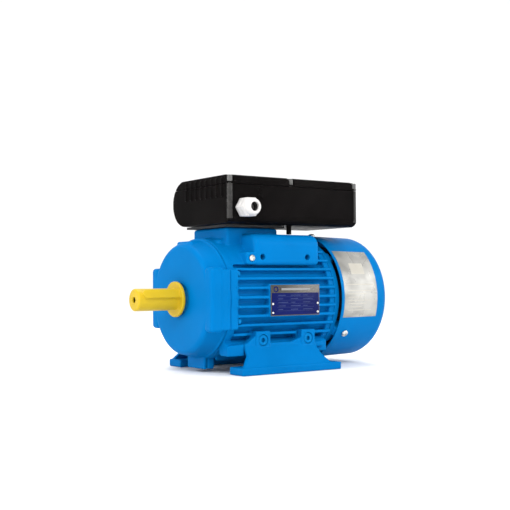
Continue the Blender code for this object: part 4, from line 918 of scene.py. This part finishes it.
def box_base():
    body = solid("box_base_moulding", [prism(box_outline(0.0, BOX_LOW_Z, BOX_SPLIT_Z), BOX_X)])
    room = prism(box_outline(BOX_WALL, BOX_LOW_Z + BOX_WALL, BOX_SPLIT_Z + 6), BOX_ROOM_X)
    combine(body, "DIFFERENCE", solid("room", [room]))
    (left_x, left_y), (right_x, right_y) = CORNER_SCREWS
    post_z = (187, BOX_SPLIT_Z + 2)
    corners = [box((BOX_X[0] - 2, left_x), (-70, left_y), post_z)]
    corners.append(box((right_x, BOX_X[1] + 2), (-70, right_y), post_z))
    combine(body, "DIFFERENCE", solid("corners", corners))
    wide = [*COVER_SCREWS[3:], NEAR_COLUMN]
    columns = [rod((x, y, 188), (x, y, BOX_SPLIT_Z), COLUMN_R) for x, y in wide]
    columns += [rod((x, y, 186), (x, y, BOX_SPLIT_Z), CORNER_COLUMN_R) for x, y in CORNER_SCREWS]
    strip_y = (BOX_NEAR_Y - 0.8, BOX_NEAR_Y + 1)
    strip = [box((82.0, 86.4), strip_y, (214 + 4 * i, 216.6 + 4 * i)) for i in range(4)]
    posts = [rod((140, y, 170.3), (140, y, BOX_LOW_Z + 2), 3.3) for y in (-50, 44)]
    ribs = end_ribs((214, BOX_SPLIT_Z - 0.5))
    combine(body, "UNION", solid("columns", columns), solid("ribs", ribs))
    combine(body, "UNION", solid("strip", strip), solid("posts", posts))
    holes = [rod((x, y, 210), (x, y, BOX_SPLIT_Z + 4), 1.9) for x, y in COVER_SCREWS]
    x, z = GLAND
    gland_hole = solid("gland_hole", [rod((x, -75, z), (x, -55, z), 8.3, 48)])
    window = solid("window", [box(*WINDOW, (175, 190))])
    combine(body, "DIFFERENCE", window, solid("holes", holes), gland_hole)
    cast(body, 0.7, 2, 0.4)
    piece(body, MATERIALS["box_black"], replaces=["terminal_box_base"])
    # Thin lighter skins round the two corner columns: a painted highlight for the gloss on their
    # rounded faces.
    inner_r, outer_r = CORNER_COLUMN_R - 0.7, CORNER_COLUMN_R + 0.2
    skin = [(187.2, inner_r), (187.2, outer_r), (228.8, outer_r), (228.8, inner_r)]
    skins = [swept(skin, 48, False, upright(x, y)) for x, y in CORNER_SCREWS]
    piece(softened(solid("box_corner_post_highlights", skins)), POST_PAINTED_HIGHLIGHT)


def box_cover():
    low = COVER_LOW_Z
    cover = solid("box_cover_moulding", [prism(box_outline(0.0, low, BOX_TOP_Z), BOX_X)])
    combine(cover, "UNION", solid("ribs", end_ribs((low + 0.3, BOX_TOP_Z - 3.5))))
    room = prism(box_outline(BOX_WALL, low - 5, BOX_TOP_Z - BOX_WALL), BOX_ROOM_X)
    combine(cover, "DIFFERENCE", solid("room", [room]))
    flanges = [rod((x, y, low), (x, y, BOX_TOP_Z - 2), 6.2) for x, y in COVER_SCREWS]
    flanges = solid("flanges", flanges)
    inside_x = (BOX_X[0] + 0.05, BOX_X[1] - 0.05)
    limit = solid("limit", [prism(box_outline(0.05, low + 0.05, BOX_TOP_Z), inside_x)])
    combine(flanges, "INTERSECT", limit)
    combine(cover, "UNION", flanges)
    notches = [rod((x, y, low + 2.2), (x, y, BOX_TOP_Z + 4), 4.8) for x, y in COVER_SCREWS]
    holes = [rod((x, y, low - 4), (x, y, low + 4), 2.2) for x, y in COVER_SCREWS]
    combine(cover, "DIFFERENCE", solid("notches", notches), solid("holes", holes))
    cast(cover, 0.6, 2, 0.4)
    piece(cover, MATERIALS["box_black"], replaces=["terminal_box_cover"])


def hexagon(name, limits):
    outline = arc(GLAND, GLAND_CORNER_R, 0, 360, 6)[:-1]
    return bevelled(solid(name, [prism(outline, limits, "XZ")]), 0.7, 3, 20)


def gland():
    x, z = GLAND
    along = Matrix.Translation((x, 0.0, z)) @ Matrix.Rotation(-math.pi / 2, 4, "Z")
    body = hexagon("gland_body_moulding", (-76.0, -67.3))
    tube = [(58.5, 0.0), (58.5, 7.6), (58.9, 8.0), (79.6, 8.0), (80.0, 7.6), (80.0, 0.0)]
    combine(body, "UNION", solid("tube", [swept(tube, 64, True, along)]))
    combine(body, "DIFFERENCE", solid("through", [rod((x, -50, z), (x, -90, z), 6.2, 64)]))
    white = MATERIALS["gland_white"]
    piece(softened(body, 30), white, replaces=["gland_body"])
    nut = hexagon("gland_nut_moulding", (-84.0, -76.3))
    dome = [(78.0, 0.0), (78.0, 10.8), (84.0, 10.8), (86.5, 10.6), (88.5, 10.1)]
    dome += [(90.2, 9.2), (91.1, 8.3), (91.5, 7.4), (91.5, 0.0)]
    combine(nut, "UNION", solid("dome", [swept(dome, 64, True, along)]))
    inside = [(70.0, 0.0), (70.0, 8.3), (88.3, 8.3), (88.3, 5.6)]
    inside += [(90.8, 5.6), (93.0, 7.0), (93.0, 0.0)]
    combine(nut, "DIFFERENCE", solid("inside", [swept(inside, 64, True, along)]))
    piece(softened(nut, 30), white, replaces=["gland_nut"])
    seal = [(80.5, 5.2), (80.5, 8.0), (88.0, 8.0), (88.0, 5.6)]
    seal += [(87.4, 5.2), (84.5, 5.6), (84.0, 5.2)]
    ring = solid("gland_seal_ring", [swept(seal, 64, False, along)])
    piece(softened(ring, 40), MATERIALS["rubber"], replaces=["gland_seal"])


# ---------------------------------------------------------------- shaft end


def key_bar(name, width, radial, x):
    """A round-ended bar along the shaft at the key's angle, between two radii."""
    outline = arc((x[1] - width / 2, 0.0), width / 2, -90, 90, 16)
    outline += arc((x[0] + width / 2, 0.0), width / 2, 90, 270, 16)
    bm = bmesh.new()
    prism(outline, radial, "XZ")(bm)
    turn = Matrix.Translation(AXIS) @ Matrix.Rotation(math.pi - KEY_ANGLE, 4, "X")
    bmesh.ops.transform(bm, matrix=turn, verts=bm.verts)
    return made(name, bm)


def sleeve():
    closed_end = [(-54.0, 0.0), (-54.0, 11.7), (-53.6, 12.7), (-52.7, 13.4), (-51.6, 13.5)]
    collar = [(0.8, 13.5), (0.8, 21.0), (1.0, 21.5), (1.6, 21.8), (4.0, 21.8)]
    collar += [(4.5, 21.6), (4.7, 21.2), (4.7, 0.0)]
    body = lathe("transport_sleeve", closed_end + collar, 96, True)
    rib = key_bar("rib", 10.6, (9.0, 17.0), (-49.0, 6.8))
    combine(rib, "INTERSECT", solid("limit", [box((-60, 2.8), (-30, 30), (60, 120))]))
    bevelled(rib, 0.8, 3)
    combine(body, "UNION", rib)
    inside = [(-51.5, 0.0), (-51.5, 12.3), (-0.6, 12.3), (-0.6, 12.8), (7.7, 12.8), (7.7, 0.0)]
    bore = lathe("bore", inside, 96, True)
    key_room = key_bar("key_room", 8.6, (9.0, 15.7), (-46.6, 16.0))
    hole = solid("hole", [rod((-56, 0, SHAFT_Z), (-49, 0, SHAFT_Z), 3.8)])
    combine(body, "DIFFERENCE", bore, key_room, hole)
    cast(body, 0.4, 2, 0.5)
    yellow = MATERIALS["sleeve_yellow"]
    piece(body, yellow, replaces=["shaft_sleeve"], body="sleeve")


# ---------------------------------------------------------------- stage


def stage():
    """A round white floor that curves up into a wall."""
    profile = [(0.0, 0.0), (FLOOR_R, 0.0)]
    for turn in [math.radians(a) for a in range(8, 91, 8)]:
        profile.append((FLOOR_R + SWEEP_R * math.sin(turn), SWEEP_R - SWEEP_R * math.cos(turn)))
    profile.append((FLOOR_R + SWEEP_R, BACKDROP_TOP_Z))
    bm = bmesh.new()
    rings = []
    for radius, height in profile:
        count = 1 if radius == 0.0 else STAGE_STEPS
        ring = []
        for turn in [2 * math.pi * i / STAGE_STEPS for i in range(count)]:
            ring.append(bm.verts.new((radius * math.cos(turn), radius * math.sin(turn), height)))
        rings.append(ring)
    for first, second in zip(rings, rings[1:]):
        for i in range(STAGE_STEPS):
            j = (i + 1) % STAGE_STEPS
            loop = [first[i % len(first)], first[j % len(first)], second[j], second[i]]
            bm.faces.new(list(dict.fromkeys(loop)))
    mesh = bpy.data.meshes.new("studio_floor")
    bm.to_mesh(mesh)
    bm.free()
    floor = bpy.data.objects.new("studio_floor", mesh)
    bpy.context.scene.collection.objects.link(floor)
    mesh.shade_smooth()
    mesh.materials.append(plastic("studio_white", (0.93, 0.93, 0.93), 0.9, 0.0, 0.995, 1.005))
    floor.location.z = -0.0002


def lamp(name, at, target, size, power):
    light = bpy.data.lights.new(name, "AREA")
    light.shape = "DISK"
    light.size = size
    light.energy = power
    obj = bpy.data.objects.new(name, light)
    obj.location = at
    obj.rotation_euler = (Vector(target) - Vector(at)).to_track_quat("-Z", "Y").to_euler()
    bpy.context.scene.collection.objects.link(obj)


def lights():
    middle = (0.0, 0.0, 0.1)
    lamp("key", (-0.9, -1.7, 1.5), middle, 1.3, 34.0)
    lamp("fill", (1.6, -1.3, 0.7), middle, 1.2, 12.0)
    lamp("left", (-1.8, 0.3, 0.6), middle, 1.2, 12.0)
    lamp("top", (0.2, 0.4, 2.0), middle, 1.6, 26.0)
    world = bpy.data.worlds.new("studio")
    world.use_nodes = True
    background = world.node_tree.nodes["Background"]
    background.inputs["Color"].default_value = (1.0, 1.0, 1.0, 1.0)
    background.inputs["Strength"].default_value = 0.75
    bpy.context.scene.world = world
    bpy.context.scene.view_settings.view_transform = "Standard"


def camera():
    """The photo's own view: seen from the drive end's near side, almost level."""
    yaw, pitch, roll = [math.radians(turn) for turn in CAMERA_TURNS]
    forward = Vector((math.cos(yaw), math.sin(yaw), 0.0))
    view = forward * math.cos(pitch) + Vector((0.0, 0.0, math.sin(pitch)))
    level = Vector((math.sin(yaw), -math.cos(yaw), 0.0))
    up = level.cross(view)
    right = level * math.cos(roll) + up * math.sin(roll)
    up = up * math.cos(roll) - level * math.sin(roll)
    data = bpy.data.cameras.new("photo_camera")
    data.lens = CAMERA_LENS
    data.sensor_width = 36.0
    data.clip_start = 0.01
    obj = bpy.data.objects.new("photo_camera", data)
    turn = Matrix((right, up, -view)).transposed().to_4x4()
    obj.matrix_world = Matrix.Translation(CAMERA_AT) @ turn
    bpy.context.scene.collection.objects.link(obj)
    bpy.context.scene.camera = obj


# ---------------------------------------------------------------- assembly

camera()
slot_of = {part["node"]: part["material_slot"] for part in frame["record"]["subparts"]}
for name, node in frame["nodes"].items():
    node.data.materials.clear()
    look = PAINTED_BOLT if name == "drive_end_seal" else MATERIALS[slot_of[name]]
    node.data.materials.append(look)
    softened(node)

housing()
drive_shield()
rear_shield()
foot("foot_right_casting", -1)
foot("foot_left_casting", 1)
cowl()
cowl_label()
screws()
nameplate()
box_base()
box_cover()
gland()
sleeve()
stage()
lights()
